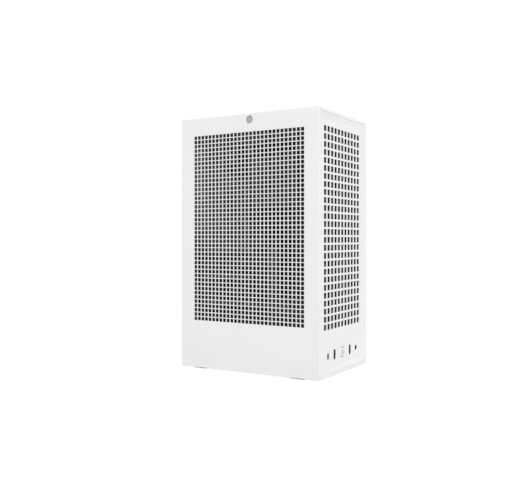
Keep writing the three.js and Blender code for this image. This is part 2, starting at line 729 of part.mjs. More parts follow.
// Rear sockets, from the bottom up: two network, four USB and a display socket. Each is {z, high,
// wide, x}, x being how far its middle stands off the board.
const REAR_SOCKETS = [
  { z: 240, high: 16, wide: 13.5, x: 12 },
  { z: 262, high: 16, wide: 13.5, x: 12 },
  { z: 286, high: 14, wide: 6.4, x: 6 },
  { z: 286, high: 14, wide: 6.4, x: 18 },
  { z: 308, high: 14, wide: 6.4, x: 6 },
  { z: 308, high: 14, wide: 6.4, x: 18 },
  { z: 334, high: 15, wide: 6, x: 7 },
];
const socketHole = (s, y0, y1, grow) =>
  block(
    BOARD.x - s.x - s.wide / 2 - grow,
    BOARD.x - s.x + s.wide / 2 + grow,
    y0,
    y1,
    s.z - s.high / 2 - grow,
    s.z + s.high / 2 + grow,
  );
function rearSockets() {
  const y0 = BOARD.y0 + BOARD.side - 20;
  const y1 = REAR_FRAME_Y + SHEET;
  return cut(
    block(BOARD.x - 24, BOARD.x - 0.3, y0, y1, 228, 346),
    ...REAR_SOCKETS.map((s) => socketHole(s, y1 - 14, y1 + 1, 0)),
  );
}
piece("rear_sockets", rearSockets(), BARE_STEEL);

function socketShield() {
  const y = REAR_FRAME_Y + SHEET + 0.3;
  return cut(
    block(IO.x0 - 2, IO.x1 + 2, y, y + 0.8, IO.z0 - 2, IO.z1 + 2),
    ...REAR_SOCKETS.map((s) => socketHole(s, y - 1, y + 2, 0.6)),
  );
}
piece("socket_shield", socketShield(), BARE_STEEL);

for (const [i, x] of SLOT_X.entries()) {
  const y = REAR_FRAME_Y + SHEET + 0.3;
  const cover = block(x - 9, x + 9, y, y + 0.9, 220, 340);
  piece(`slot_cover_${i + 1}`, cut(cover, rod("y", y - 1, y + 2, [x, 335], 2, 12)), WHITE_STEEL);
  piece(
    `thumb_screw_${i + 1}`,
    join(
      rod("y", y + 1.2, y + 5.2, [x, 335], 4.2, 16),
      rod("y", y - 0.2, y + 2, [x, 335], 1.6, 12),
    ),
    BARE_STEEL,
  );
}

// ---------------------------------------------------------------- front ports and power button
const IO_BOARD_Y = -103;
const PORT_FRONT = FRONT.deep - HALF_D + 0.4;

// A socket that stands on the port board with its mouth just inside the front panel's face.
function portSocket(x, wide, high, wall, tongue) {
  const shell = block(
    x - wide / 2,
    x + wide / 2,
    PORT_FRONT,
    IO_BOARD_Y - 0.3,
    PORT_Z - high / 2,
    PORT_Z + high / 2,
  );
  const hollow = block(
    x - wide / 2 + wall,
    x + wide / 2 - wall,
    PORT_FRONT - 1,
    IO_BOARD_Y - 4,
    PORT_Z - high / 2 + wall,
    PORT_Z + high / 2 - wall,
  );
  const blade = block(
    x - tongue.thick / 2 + tongue.offset,
    x + tongue.thick / 2 + tongue.offset,
    PORT_FRONT + 1.2,
    IO_BOARD_Y - 3,
    PORT_Z - tongue.high / 2,
    PORT_Z + tongue.high / 2,
  );
  return join(cut(shell, hollow), blade);
}
piece(
  "port_board",
  block(-66, 66, IO_BOARD_Y, IO_BOARD_Y + 1.6, PORT_Z - 16, PORT_Z + 16),
  CIRCUIT_BOARD,
);
const C_TONGUE = { thick: 0.8, high: 6.2, offset: 0 };
const A_TONGUE = { thick: 1.8, high: 11, offset: -1.2 };
piece("usb_c_socket", portSocket(PORTS.usbC, 3.4, 9, 0.4, C_TONGUE), BARE_STEEL);
piece("left_usb_socket", portSocket(-PORTS.usbA, 7, 14.5, 0.6, A_TONGUE), BARE_STEEL);
piece("right_usb_socket", portSocket(PORTS.usbA, 7, 14.5, 0.6, A_TONGUE), BARE_STEEL);
piece(
  "audio_socket",
  cut(
    rod("y", PORT_FRONT, IO_BOARD_Y - 0.3, [PORTS.jack, PORT_Z], 3.7, 20),
    rod("y", PORT_FRONT - 1, IO_BOARD_Y - 4, [PORTS.jack, PORT_Z], 1.8, 16),
  ),
  BLACK_PLASTIC,
);

const BUTTON_FRONT = FRONT.deep - HALF_D - 0.2;
const BUTTON_STEM = -112.3; // the stem's far end, 1.8 mm short of the switch
piece(
  "power_button",
  join(
    block(
      -BUTTON.width / 2,
      BUTTON.width / 2,
      BUTTON_FRONT,
      BUTTON_FRONT + 4.6,
      PORT_Z - BUTTON.height / 2,
      PORT_Z + BUTTON.height / 2,
    ),
    rod("y", BUTTON_FRONT + 4, BUTTON_STEM, [0, PORT_Z], 3, 16),
  ),
  WHITE_PLASTIC,
);
piece(
  "power_switch",
  join(
    block(-6, 6, IO_BOARD_Y - 6, IO_BOARD_Y - 0.3, PORT_Z - 6, PORT_Z + 6),
    rod("y", IO_BOARD_Y - 7.5, IO_BOARD_Y - 5, [0, PORT_Z], 2.5, 12),
  ),
  BLACK_PLASTIC,
);

export default enclosure;
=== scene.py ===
# %% [markdown]
# # An upright storage enclosure
# The object is a box of folded sheet steel, 178 x 253 x 409 mm, powder coated white. Two big side
# panels and a narrow front panel are full of small square holes, and they pull straight off. Behind
# them are drives, a mainboard, a power supply and two fans.
#
# The solid model is loaded first, as a fixed frame. It says where every piece is and what moves, so
# the cells below only ask it for places. They make the fine shapes that the solid model leaves out,
# such as the real holes, and the finish of every surface.

# %% Load the fixed frame
import math

import bmesh
import bpy
from mathutils import Matrix, Vector


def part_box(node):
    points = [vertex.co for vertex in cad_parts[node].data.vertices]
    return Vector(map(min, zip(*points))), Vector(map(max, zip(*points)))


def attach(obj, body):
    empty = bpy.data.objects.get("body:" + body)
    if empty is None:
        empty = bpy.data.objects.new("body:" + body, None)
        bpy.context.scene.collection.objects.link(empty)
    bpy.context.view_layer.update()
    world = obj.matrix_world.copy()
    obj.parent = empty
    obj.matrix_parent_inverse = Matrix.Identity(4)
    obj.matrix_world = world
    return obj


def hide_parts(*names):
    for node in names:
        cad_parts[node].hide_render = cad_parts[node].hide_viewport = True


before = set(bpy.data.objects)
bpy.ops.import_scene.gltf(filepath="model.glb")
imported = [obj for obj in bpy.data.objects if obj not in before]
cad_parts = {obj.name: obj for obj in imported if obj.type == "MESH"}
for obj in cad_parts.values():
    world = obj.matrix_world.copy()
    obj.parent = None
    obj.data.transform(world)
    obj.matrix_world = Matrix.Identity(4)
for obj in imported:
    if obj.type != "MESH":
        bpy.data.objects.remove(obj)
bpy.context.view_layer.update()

MM = 0.001

# %% [markdown]
# ## The camera
# A product picture like this is taken with a normal lens from about a metre away, a little below the
# top edge, so the upright edges stay parallel. The camera is level and isn't rolled or shifted.

# %% Camera
FRAME_WIDTH_MM = 36
LENS_MM = 48.89
camera = bpy.data.objects.new("camera", bpy.data.cameras.new("camera"))
camera.data.sensor_width = FRAME_WIDTH_MM
camera.data.lens = LENS_MM
camera.location = (-1.0256, -0.5857, 0.2137)
looks_along = Vector((0.85739, 0.51465, -0.0031))
camera.rotation_mode = "QUATERNION"
camera.rotation_quaternion = looks_along.to_track_quat("-Z", "Y")
bpy.context.scene.collection.objects.link(camera)
bpy.context.scene.camera = camera
print("lens", camera.data.lens, "mm at", [round(v, 3) for v in camera.location])

# %% [markdown]
# ## Two helpers for nodes
# Materials and geometry are both trees of nodes. One function adds any node: it sets the node's
# choices, fills its sockets, and makes a link wherever the value is another node's socket. Colours
# are written as sRGB hex, as in a paint program, and turned into the linear light that Blender uses.


# %% Node and colour helpers
def add(tree, kind, inputs=None, **choices):
    """Adds a node. inputs maps a socket's name or number to a value, or to a socket to link."""
    node = tree.nodes.new(kind)
    for name, choice in choices.items():
        setattr(node, name, choice)
    for key, value in (inputs or {}).items():
        socket = node.inputs[key]
        if isinstance(value, bpy.types.NodeSocket):
            tree.links.new(value, socket)
        else:
            socket.default_value = value
    return node


def colour(hex_code):
    """An sRGB hex colour as linear red, green, blue and alpha."""
    parts = [int(hex_code[i : i + 2], 16) / 255 for i in (1, 3, 5)]
    linear = [c / 12.92 if c <= 0.04045 else ((c + 0.055) / 1.055) ** 2.4 for c in parts]
    return (*linear, 1.0)


print("white coat in linear light:", [round(c, 3) for c in colour("#EDEDED")])

# %% [markdown]
# ## Finishes
# Every finish starts with the same three nodes: where we are on the piece in metres (Object
# coordinates, so a pattern keeps its real size), the shader, and the output. A size in millimetres
# becomes a noise scale as 1 / size, because noise has about one blob per unit of its scale.


def new_finish(name, slot, **shader):
    """A material with its shader and Object coordinates: (material, tree, shader node, position)."""
    material = bpy.data.materials.new(name)
    material.use_nodes = True
    tree = material.node_tree
    tree.nodes.clear()
    inputs = {key.replace("_", " "): value for key, value in shader.items()}
    bsdf = add(tree, "ShaderNodeBsdfPrincipled", inputs)
    add(tree, "ShaderNodeOutputMaterial", {"Surface": bsdf.outputs["BSDF"]})
    where = add(tree, "ShaderNodeTexCoord").outputs["Object"]
    return material, tree, bsdf, where


def grain(tree, where, size_mm, detail=3.0):
    """Noise with blobs of a real size. Its value runs from about 0.3 to 0.7."""
    inputs = {"Vector": where, "Scale": 1 / (size_mm * MM), "Detail": detail}
    return add(tree, "ShaderNodeTexNoise", inputs).outputs[0]


def spread(tree, value, low, high):
    """Turns a noise value into a number between low and high."""
    inputs = {"Value": value, "From Min": 0.3, "From Max": 0.7, "To Min": low, "To Max": high}
    return add(tree, "ShaderNodeMapRange", inputs).outputs[0]


def blend_colours(tree, factor, first, second):
    """A colour between two hex colours, by a factor from 0 to 1."""
    ramp = add(tree, "ShaderNodeValToRGB", {"Fac": factor})
    ramp.color_ramp.elements[0].color = colour(first)
    ramp.color_ramp.elements[1].color = colour(second)
    return ramp.outputs["Color"]


def bump(tree, bsdf, height, depth_mm, strength=1.0):
    """Makes the surface rise and fall by up to depth_mm without any geometry."""
    inputs = {"Height": height, "Distance": depth_mm * MM, "Strength": strength}
    node = add(tree, "ShaderNodeBump", inputs)
    tree.links.new(node.outputs["Normal"], bsdf.inputs["Normal"])
    return node


# %% [markdown]
# ### A grained finish
# Most finishes are one fine noise at work in three places: it tints the colour, varies the shine and
# raises a bump. The real size of the grain and its depth make the difference. The part's record has
# ten material slots.


# %% Grained finishes
def grained(name, slot, colours, size_mm, rough=None, depth_mm=0, detail=2.0, **more):
    """A finish from one fine noise. more holds shader settings and these three:
    tint_mm tints with a coarser noise, lines stretches the grain along Y, dents_mm bumps with
    a noise of another size."""
    tint_mm, lines, dents_mm = (more.pop(key, None) for key in ("tint_mm", "lines", "dents_mm"))
    material, tree, bsdf, where = new_finish(name, slot, **more)
    if lines:
        stretch = {"Vector": where, "Scale": (1, 1 / lines, 1)}
        where = add(tree, "ShaderNodeMapping", stretch).outputs["Vector"]
    fine = grain(tree, where, size_mm, detail)
    tint = grain(tree, where, tint_mm, 2.0) if tint_mm else fine
    tree.links.new(blend_colours(tree, tint, *colours), bsdf.inputs["Base Color"])
    if rough:
        tree.links.new(spread(tree, fine, *rough), bsdf.inputs["Roughness"])
    if depth_mm:
        dents = grain(tree, where, dents_mm, 2.0) if dents_mm else fine
        bump(tree, bsdf, dents, depth_mm)
    return material


# %% [markdown]
# ### Powder-coated steel
# Powder paint is sprayed on dry and melted, so it ends up as a thick plastic skin with a fine orange
# peel: bumps half a millimetre apart and a few hundredths deep. It gives a broad, soft shine. The
# colour hardly changes, apart from a trace of warmth where the coat lies thin.


# %% Powder coats
def powder_coat(name, slot, colours, rough):
    spread_of_shine = (rough - 0.05, rough + 0.05)
    return grained(name, slot, colours, 0.5, spread_of_shine, 0.012, tint_mm=60, IOR=1.5)


WHITE_COAT = powder_coat("white_powder_coat", "white_coated_steel", ("#EDECEB", "#EFEFEF"), 0.48)
BLACK_COAT = powder_coat("black_powder_coat", "black_coated_steel", ("#1B1B1C", "#222224"), 0.42)
print("made", WHITE_COAT.name, BLACK_COAT.name)

# %% [markdown]
# ### Bare metals
# Sockets are pressed from tin-plated or zinc-plated steel, which is cool grey with faint cloudy
# patches. The drives' lids and the cooler are aluminium: cast metal looks sandy, a milled face shows
# fine parallel lines, 30 times longer than wide. Metals keep the default IOR.

# %% Bare metals
zinc = ("zinc_plated_steel", "zinc_plated_steel", ("#B3B5B8", "#BEC0C2"), 4.0, (0.28, 0.34))
PLATED_STEEL = grained(*zinc, detail=4.0, Metallic=1.0)
CAST_ALUMINIUM = grained(
    "cast_aluminium", "cast_aluminium", ("#8E9194", "#A8ABAE"), 0.8, (0.42, 0.56), 0.03, 3.0, Metallic=1.0
)
milled = ("milled_aluminium", "cast_aluminium", ("#B4B6B9", "#D2D4D6"), 0.6, (0.22, 0.38), 0.01, 3.0)
MILLED_ALUMINIUM = grained(*milled, lines=30, Metallic=1.0)
GOLD = grained(
    "gold_plated_contacts", "zinc_plated_steel", ("#C79A45", "#E0BC68"), 1.5, Metallic=1.0, Roughness=0.25
)
print("made", PLATED_STEEL.name, CAST_ALUMINIUM.name, MILLED_ALUMINIUM.name, GOLD.name)

# %% [markdown]
# ### Moulded plastics and rubber
# The fans, sleds and sockets are ABS or nylon from a spark-eroded mould, which prints a fine matt
# grain on them. The peg's head is smoother and satin. The feet are grey silicone rubber: matt, with
# a faint bloom of dust, and a little sheen at grazing angles.


# %% Plastics and rubber
def moulded(name, slot, colours, rough, grain_mm=0.35, depth_mm=0.01, shine=0.5):
    matt = (rough - 0.06, rough + 0.06)
    return grained(name, slot, colours, grain_mm, matt, depth_mm, IOR=1.53, Specular_IOR_Level=shine)


BLACK_ABS = moulded("black_abs", "black_plastic", ("#161617", "#1E1E20"), 0.5)
MATT_BLACK = moulded("matt_black_nylon", "black_plastic", ("#0B0B0C", "#101011"), 0.78, shine=0.15)
WHITE_ABS = moulded("white_abs", "white_plastic", ("#E9E8E6", "#EEEEED"), 0.4)
GREY_ABS = moulded("grey_satin_abs", "grey_plastic", ("#A8A9AB", "#AFB0B2"), 0.32, 0.6, 0.004)
BLUE_NYLON = moulded("blue_nylon", "black_plastic", ("#20508C", "#2A5F9E"), 0.4)
MARK_GREY = moulded("grey_light_pipe", "grey_plastic", ("#A2A3A4", "#AAABAC"), 0.3)
RUBBER = grained(
    "grey_silicone_rubber", "foot_rubber", ("#77787A", "#8B8C8E"), 2.5, (0.7, 0.85), 0.02, 4.0,
    dents_mm=0.6, IOR=1.43, Sheen_Weight=0.15,
)
print("made", BLACK_ABS.name, WHITE_ABS.name, GREY_ABS.name, RUBBER.name)

# %% [markdown]
# ### Dust filter cloth
# Behind each panel lies a woven nylon net. Its threads are 0.6 mm thick and 0.9 mm apart, so only
# a tenth of it is open. Light threads can't be told apart from a metre away, so the weave is drawn as
# two sets of lines that make the sheet opaque, and the rest of it is clear.


# %% Filter cloth
def filter_cloth():
    shader = {"IOR": 1.53, "Roughness": 0.7, "Specular_IOR_Level": 0.2}
    material, tree, bsdf, where = new_finish("nylon_filter_net", "filter_cloth", **shader)
    bsdf.inputs["Base Color"].default_value = colour("#0A0A0B")
    thread_gap_mm = 0.9
    # Every filter is flat and upright, so X + Y runs along it and Z runs up it.
    apart = add(tree, "ShaderNodeSeparateXYZ", {"Vector": where}).outputs
    along = add(tree, "ShaderNodeMath", {0: apart["X"], 1: apart["Y"]}, operation="ADD").outputs[0]
    threads = []
    for place in (along, apart["Z"]):
        steps = {0: place, 1: 2 * math.pi / (thread_gap_mm * MM)}
        phase = add(tree, "ShaderNodeMath", steps, operation="MULTIPLY").outputs[0]
        wave = add(tree, "ShaderNodeMath", {0: phase}, operation="COSINE").outputs[0]
        over = {0: wave, 1: -0.55}
        threads.append(add(tree, "ShaderNodeMath", over, operation="GREATER_THAN").outputs[0])
    opaque = add(tree, "ShaderNodeMath", dict(enumerate(threads)), operation="MAXIMUM").outputs[0]
    tree.links.new(opaque, bsdf.inputs["Alpha"])
    return material


FILTER_NET = filter_cloth()
print("made", FILTER_NET.name)

# %% [markdown]
# ### Circuit board
# A board is glass cloth and resin under a dark lacquer, the solder mask. Copper tracks lie under the
# lacquer and lift it a little, so they show as faint paler lines that run along and across.


# %% Circuit board
def solder_mask():
    material, tree, bsdf, where = new_finish(
        "dark_green_solder_mask", "circuit_board", IOR=1.55, Coat_Weight=0.3
    )
    # A brick pattern with thin mortar looks like tracks that run along and step across.
    swap = add(tree, "ShaderNodeSeparateXYZ", {"Vector": where})
    flat = {"X": swap.outputs["Z"], "Y": swap.outputs["Y"], "Z": swap.outputs["X"]}
    plane = add(tree, "ShaderNodeCombineXYZ", flat)
    tracks = add(
        tree,
        "ShaderNodeTexBrick",
        {
            "Vector": plane.outputs["Vector"],
            "Color1": colour("#10241A"),
            "Color2": colour("#13291E"),
            "Mortar": colour("#2C4A38"),
            "Scale": 1.0,
            "Mortar Size": 0.25 * MM,
            "Brick Width": 14 * MM,
            "Row Height": 1.8 * MM,
        },
    )
    tree.links.new(tracks.outputs["Color"], bsdf.inputs["Base Color"])
    tree.links.new(spread(tree, grain(tree, where, 6, 2.0), 0.25, 0.4), bsdf.inputs["Roughness"])
    bump(tree, bsdf, tracks.outputs["Fac"], 0.03, 0.5)
    return material


SOLDER_MASK = solder_mask()
print("made", SOLDER_MASK.name)

# %% [markdown]
# ## Trees that repeat a shape
# Holes, fins, contacts, blades and screws all repeat, so Geometry Nodes make them. Each tree below
# has named inputs for its sizes. It ends by turning its instances into real mesh and giving them a
# finish, because a model for other programs can't keep instances. From here on every length in the
# code is in millimetres. Finished pieces are scaled to metres in one place, at the end.


# %% Starting, ending and running a tree
def new_tree(name, *inputs):
    """A geometry tree with named inputs, each (name, kind), and the sockets to read them from."""
    tree = bpy.data.node_groups.new(name, "GeometryNodeTree")
    tree.interface.new_socket(name="Start", in_out="INPUT", socket_type="NodeSocketGeometry")
    for label, kind in (*inputs, ("Finish", "Material")):
        tree.interface.new_socket(name=label, in_out="INPUT", socket_type=f"NodeSocket{kind}")
    tree.interface.new_socket(name="Result", in_out="OUTPUT", socket_type="NodeSocketGeometry")
    return tree, add(tree, "NodeGroupInput").outputs


def end_tree(tree, given, instances, merge_mm=0.002):
    """Real mesh instead of instances, neighbouring points welded, and a finish on it all."""
    real = add(tree, "GeometryNodeRealizeInstances", {"Geometry": instances})
    weld = {"Geometry": real.outputs[0], "Distance": merge_mm}
    welded = add(tree, "GeometryNodeMergeByDistance", weld)
    paint = {"Geometry": welded.outputs[0], "Material": given["Finish"]}
    painted = add(tree, "GeometryNodeSetMaterial", paint)
    add(tree, "NodeGroupOutput", {"Result": painted.outputs[0]})
    return tree


def grow(tree, start=None, **values):
    """Runs a tree on a start mesh, with its inputs by name, and returns a plain mesh."""
    obj = bpy.data.objects.new("growing", start or bpy.data.meshes.new("nothing"))
    bpy.context.scene.collection.objects.link(obj)
    modifier = obj.modifiers.new("grow", "NODES")
    modifier.node_group = tree
    for item in tree.interface.items_tree:
        key = item.name.replace(" ", "_")
        if item.in_out == "INPUT" and key in values:
            modifier[item.identifier] = values[key]
    evaluated = obj.evaluated_get(bpy.context.evaluated_depsgraph_get())
    mesh = bpy.data.meshes.new_from_object(evaluated)
    bpy.data.objects.remove(obj)
    return mesh


# %% [markdown]
# ### The perforation tree
# One tile is a rectangle of sheet with a square hole in it. The tile is drawn as two curves that are
# filled in between, set down on every point of a grid, and welded to its neighbours. The hole's
# corners are rounded, because a punch with sharp corners would crack.


# %% Perforation tree
def perforation_tree():
    tree, given = new_tree(
        "perforation",
        ("Columns", "Int"),
        ("Rows", "Int"),
        ("Pitch Across", "Float"),
        ("Pitch Up", "Float"),
        ("Hole Across", "Float"),
        ("Hole Up", "Float"),
        ("Corner", "Float"),
    )
    quad = "GeometryNodeCurvePrimitiveQuadrilateral"
    edge = add(tree, quad, {"Width": given["Pitch Across"], "Height": given["Pitch Up"]})
    hole = add(tree, quad, {"Width": given["Hole Across"], "Height": given["Hole Up"]})
    corner = {"Curve": hole.outputs[0], "Radius": given["Corner"], "Count": 2}
    rounded = add(tree, "GeometryNodeFilletCurve", corner, mode="POLY")
    both = add(tree, "GeometryNodeJoinGeometry", {"Geometry": edge.outputs[0]})
    tree.links.new(rounded.outputs[0], both.inputs["Geometry"])
    tile = add(tree, "GeometryNodeFillCurve", {"Curve": both.outputs[0]}, mode="TRIANGLES")
    span = {}
    for count, pitch in (("Columns", "Pitch Across"), ("Rows", "Pitch Up")):
        gaps = add(tree, "ShaderNodeMath", {0: given[count], 1: 1.0}, operation="SUBTRACT")
        length = {0: gaps.outputs[0], 1: given[pitch]}
        span[count] = add(tree, "ShaderNodeMath", length, operation="MULTIPLY").outputs[0]
    grid = {
        "Size X": span["Columns"],
        "Size Y": span["Rows"],
        "Vertices X": given["Columns"],
        "Vertices Y": given["Rows"],
    }
    spots = add(tree, "GeometryNodeMeshGrid", grid).outputs[0]
    copies = add(tree, "GeometryNodeInstanceOnPoints", {"Points": spots, "Instance": tile.outputs[0]})
    return end_tree(tree, given, copies.outputs[0])


PERFORATION = perforation_tree()

# %% [markdown]
# ### Rows, rings and scattered copies
# A row sets a shape down along a straight line. A ring turns it about the Z axis by equal angles.
# The last tree puts one shape on every point of a mesh, which is how screws get to their places.


# %% Row, ring and scatter trees
def row_tree():
    tree, given = new_tree("row", ("Count", "Int"), ("Step", "Vector"))
    line = {"Count": given["Count"], "Offset": given["Step"]}
    spots = add(tree, "GeometryNodeMeshLine", line).outputs[0]
    copies = add(tree, "GeometryNodeInstanceOnPoints", {"Points": spots, "Instance": given["Start"]})
    return end_tree(tree, given, copies.outputs[0])


def ring_tree():
    tree, given = new_tree("ring", ("Count", "Int"))
    spots = add(tree, "GeometryNodeMeshLine", {"Count": given["Count"], "Offset": (0, 0, 0)})
    turn = add(tree, "ShaderNodeMath", {0: 2 * math.pi, 1: given["Count"]}, operation="DIVIDE")
    number = add(tree, "GeometryNodeInputIndex").outputs[0]
    angle = add(tree, "ShaderNodeMath", {0: number, 1: turn.outputs[0]}, operation="MULTIPLY")
    about_z = add(tree, "ShaderNodeCombineXYZ", {"Z": angle.outputs[0]}).outputs[0]
    turned = {"Points": spots.outputs[0], "Instance": given["Start"], "Rotation": about_z}
    copies = add(tree, "GeometryNodeInstanceOnPoints", turned)
    return end_tree(tree, given, copies.outputs[0])


def scatter_tree():
    tree, given = new_tree("scatter", ("Part", "Object"))
    part = add(tree, "GeometryNodeObjectInfo", {"Object": given["Part"]}).outputs["Geometry"]
    copies = add(tree, "GeometryNodeInstanceOnPoints", {"Points": given["Start"], "Instance": part})
    return end_tree(tree, given, copies.outputs[0])


ROW, RING, SCATTER = row_tree(), ring_tree(), scatter_tree()
print("trees:", PERFORATION.name, ROW.name, RING.name, SCATTER.name)

# %% [markdown]
# ## Drawing and placing
# Most pieces are drawn flat and then stood up on a side of the box. A side is three directions, as
# seen from outside: to the right, up, and out towards the viewer. The place goes into the mesh, so
# every finished object stays at the origin.

# %% Sides of the box
FRONT = ((1, 0, 0), (0, 0, 1), (0, -1, 0))
REAR = ((-1, 0, 0), (0, 0, 1), (0, 1, 0))
LEFT = ((0, -1, 0), (0, 0, 1), (-1, 0, 0))
RIGHT = ((0, 1, 0), (0, 0, 1), (1, 0, 0))
TOP = ((1, 0, 0), (0, 1, 0), (0, 0, 1))
UNDER = ((1, 0, 0), (0, -1, 0), (0, 0, -1))


def facing(side, origin=(0, 0, 0)):
    """The matrix that stands a flat drawing up on a side, with its zero at origin."""
    matrix = Matrix(side).transposed().to_4x4()
    matrix.translation = Vector(origin)
    return matrix


def box_mm(node):
    """The low and high corner of a solid piece's box, in millimetres."""
    return [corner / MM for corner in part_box(node)]


def middle_of(node):
    return sum(box_mm(node), Vector()) / 2


def measures(node):
    """A solid piece's low corner, high corner, middle and size."""
    low, high = box_mm(node)
    return low, high, (low + high) / 2, high - low


print("top cover:", [round(v, 1) for v in measures("top_cover")[3]], "mm")


# %% Outlines
def rectangle(width, height, middle=(0, 0), corner=0.0, steps=4):
    """The points of a rectangle, anticlockwise, with round corners if corner isn't 0."""
    points = []
    for quarter, (sx, sy) in enumerate(((1, 1), (-1, 1), (-1, -1), (1, -1))):
        x = middle[0] + sx * (width / 2 - corner)
        y = middle[1] + sy * (height / 2 - corner)
        if corner == 0:
            points.append((x, y))
            continue
        for i in range(steps + 1):
            angle = math.pi / 2 * (quarter + i / steps)
            points.append((x + corner * math.cos(angle), y + corner * math.sin(angle)))
    return points


def corners(middle, half, half_up=None):
    """Four places round a middle."""
    up = half_up or half
    return [(middle[0] + a * half, middle[1] + b * up) for a in (-1, 1) for b in (-1, 1)]


def circle(radius, middle=(0, 0), steps=32):
    turns = [2 * math.pi * i / steps for i in range(steps)]
    return [(middle[0] + radius * math.cos(a), middle[1] + radius * math.sin(a)) for a in turns]


# %% [markdown]
# ### Solids from outlines
# An outline can be pulled into a prism, two outlines into a tube, and a profile can be turned about
# an axis. These add to a bmesh, Blender's editable mesh, so one piece can hold several of them.


# %% Prisms, tubes and turned shapes
def ring_of(bm, outline, height, matrix):
    return [bm.verts.new(matrix @ Vector((x, y, height))) for x, y in outline]


def join_rings(bm, near, far):
    """Quads between two closed rings with the same number of points."""
    for i in range(len(near)):
        j = (i + 1) % len(near)
        bm.faces.new((near[i], near[j], far[j], far[i]))


def prism(bm, outline, low, high, matrix=Matrix()):
    """A closed prism between two heights."""
    bottom, top = (ring_of(bm, outline, z, matrix) for z in (low, high))
    join_rings(bm, bottom, top)
    bm.faces.new(top)
    bm.faces.new(list(reversed(bottom)))


def tube(bm, outer, inner, low, high, matrix=Matrix()):
    """A wall between two outlines with the same number of points."""
    path = ((outer, low), (outer, high), (inner, high), (inner, low))
    rings = [ring_of(bm, outline, z, matrix) for outline, z in path]
    for a in range(4):
        join_rings(bm, rings[a], rings[(a + 1) % 4])


def turned(bm, profile, matrix=Matrix(), steps=32):
    """Turns a profile of (radius, height) about Z. It starts and ends on the axis, at radius 0."""
    poles = [bm.verts.new(matrix @ Vector((0, 0, profile[i][1]))) for i in (0, -1)]
    rings = [ring_of(bm, circle(r, (0, 0), steps), h, matrix) for r, h in profile[1:-1]]
    for near, far in zip(rings, rings[1:]):
        join_rings(bm, near, far)
    for i in range(steps):
        j = (i + 1) % steps
        bm.faces.new((poles[0], rings[0][j], rings[0][i]))
        bm.faces.new((poles[1], rings[-1][i], rings[-1][j]))


def brick(bm, low, high):
    """A plain block between two corners, as one part of a bigger piece."""
    size = [h - l for l, h in zip(low, high)]
    middle = ((low[0] + high[0]) / 2, (low[1] + high[1]) / 2)
    prism(bm, rectangle(size[0], size[1], middle), low[2], high[2])


# %% [markdown]
# ### Finishing a piece
# `finished` takes the shape, adds rounded edges and a thickness where they are asked for, turns the
# faces outwards, gives it its finish, says which moving body it rides on, and hides the solid pieces
# it stands for.


# %% Finishing a piece
def to_mesh(bm, name="shape"):
    mesh = bpy.data.meshes.new(name)
    bm.to_mesh(mesh)
    bm.free()
    return mesh


def with_modifiers(mesh, *modifiers):
    """The mesh after some modifiers, each (kind, settings), as a plain mesh again."""
    obj = bpy.data.objects.new("modified", mesh)
    bpy.context.scene.collection.objects.link(obj)
    for kind, settings in modifiers:
        modifier = obj.modifiers.new(kind, kind)
        for name, value in settings.items():
            setattr(modifier, name, value)
    evaluated = obj.evaluated_get(bpy.context.evaluated_depsgraph_get())
    result = bpy.data.meshes.new_from_object(evaluated)
    bpy.data.objects.remove(obj)
    return result


def rounding(width_mm, segments=2):
    """A bevel of every edge that is sharper than 40 degrees."""
    settings = {"width": width_mm, "segments": segments, "limit_method": "ANGLE"}
    return "BEVEL", {**settings, "angle_limit": math.radians(40), "use_clamp_overlap": True}


def thickness(mm, offset=-1.0):
    """A wall grown inwards from the drawn face, or outwards with offset 1."""
    return "SOLIDIFY", {"thickness": mm, "offset": offset, "use_even_offset": True}


def finished(name, shape, finish, body, replaces=(), modifiers=(), matrix=None, turn_out=True):
    """The shape as an object at the origin, riding on its body."""
    mesh = to_mesh(shape) if isinstance(shape, bmesh.types.BMesh) else shape
    if turn_out:
        bm = bmesh.new()
        bm.from_mesh(mesh)
        bmesh.ops.recalc_face_normals(bm, faces=bm.faces[:])
        mesh = to_mesh(bm)
    if modifiers:
        mesh = with_modifiers(mesh, *modifiers)
    mesh.transform(Matrix.Scale(MM, 4) @ (matrix or Matrix()))
    mesh.name = name
    mesh.materials.clear()
    mesh.materials.append(finish)
    mesh.polygons.foreach_set("material_index", [0] * len(mesh.polygons))
    mesh.shade_smooth()
    mesh.set_sharp_from_angle(angle=math.radians(32))
    obj = bpy.data.objects.new(name, mesh)
    bpy.context.scene.collection.objects.link(obj)
    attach(obj, body)
    if replaces:
        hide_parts(*replaces)
    print(f"{name}: {len(mesh.polygons)} faces")
    return obj


# %% [markdown]
# ### Sheet metal
# A sheet is an outline, some plain cut-outs and some perforated patches. The patches come from the
# perforation tree. What lies between all those loops is filled with flat triangles. Then the rim is
# folded: each step of the fold moves a copy of the edge outwards and back, round a small radius, as
# a press brake does. The thickness comes last, so that it follows the fold.


# %% Perforated patches and sheets
def patch(columns, rows, middle, pitch, hole, corner=0.5):
    """A perforated patch in millimetres: (its mesh, its middle, its width and height)."""
    mesh = grow(
        PERFORATION,
        Columns=columns,
        Rows=rows,
        Pitch_Across=pitch[0],
        Pitch_Up=pitch[1],
        Hole_Across=hole[0],
        Hole_Up=hole[1],
        Corner=corner,
    )
    return mesh, middle, (columns * pitch[0], rows * pitch[1])


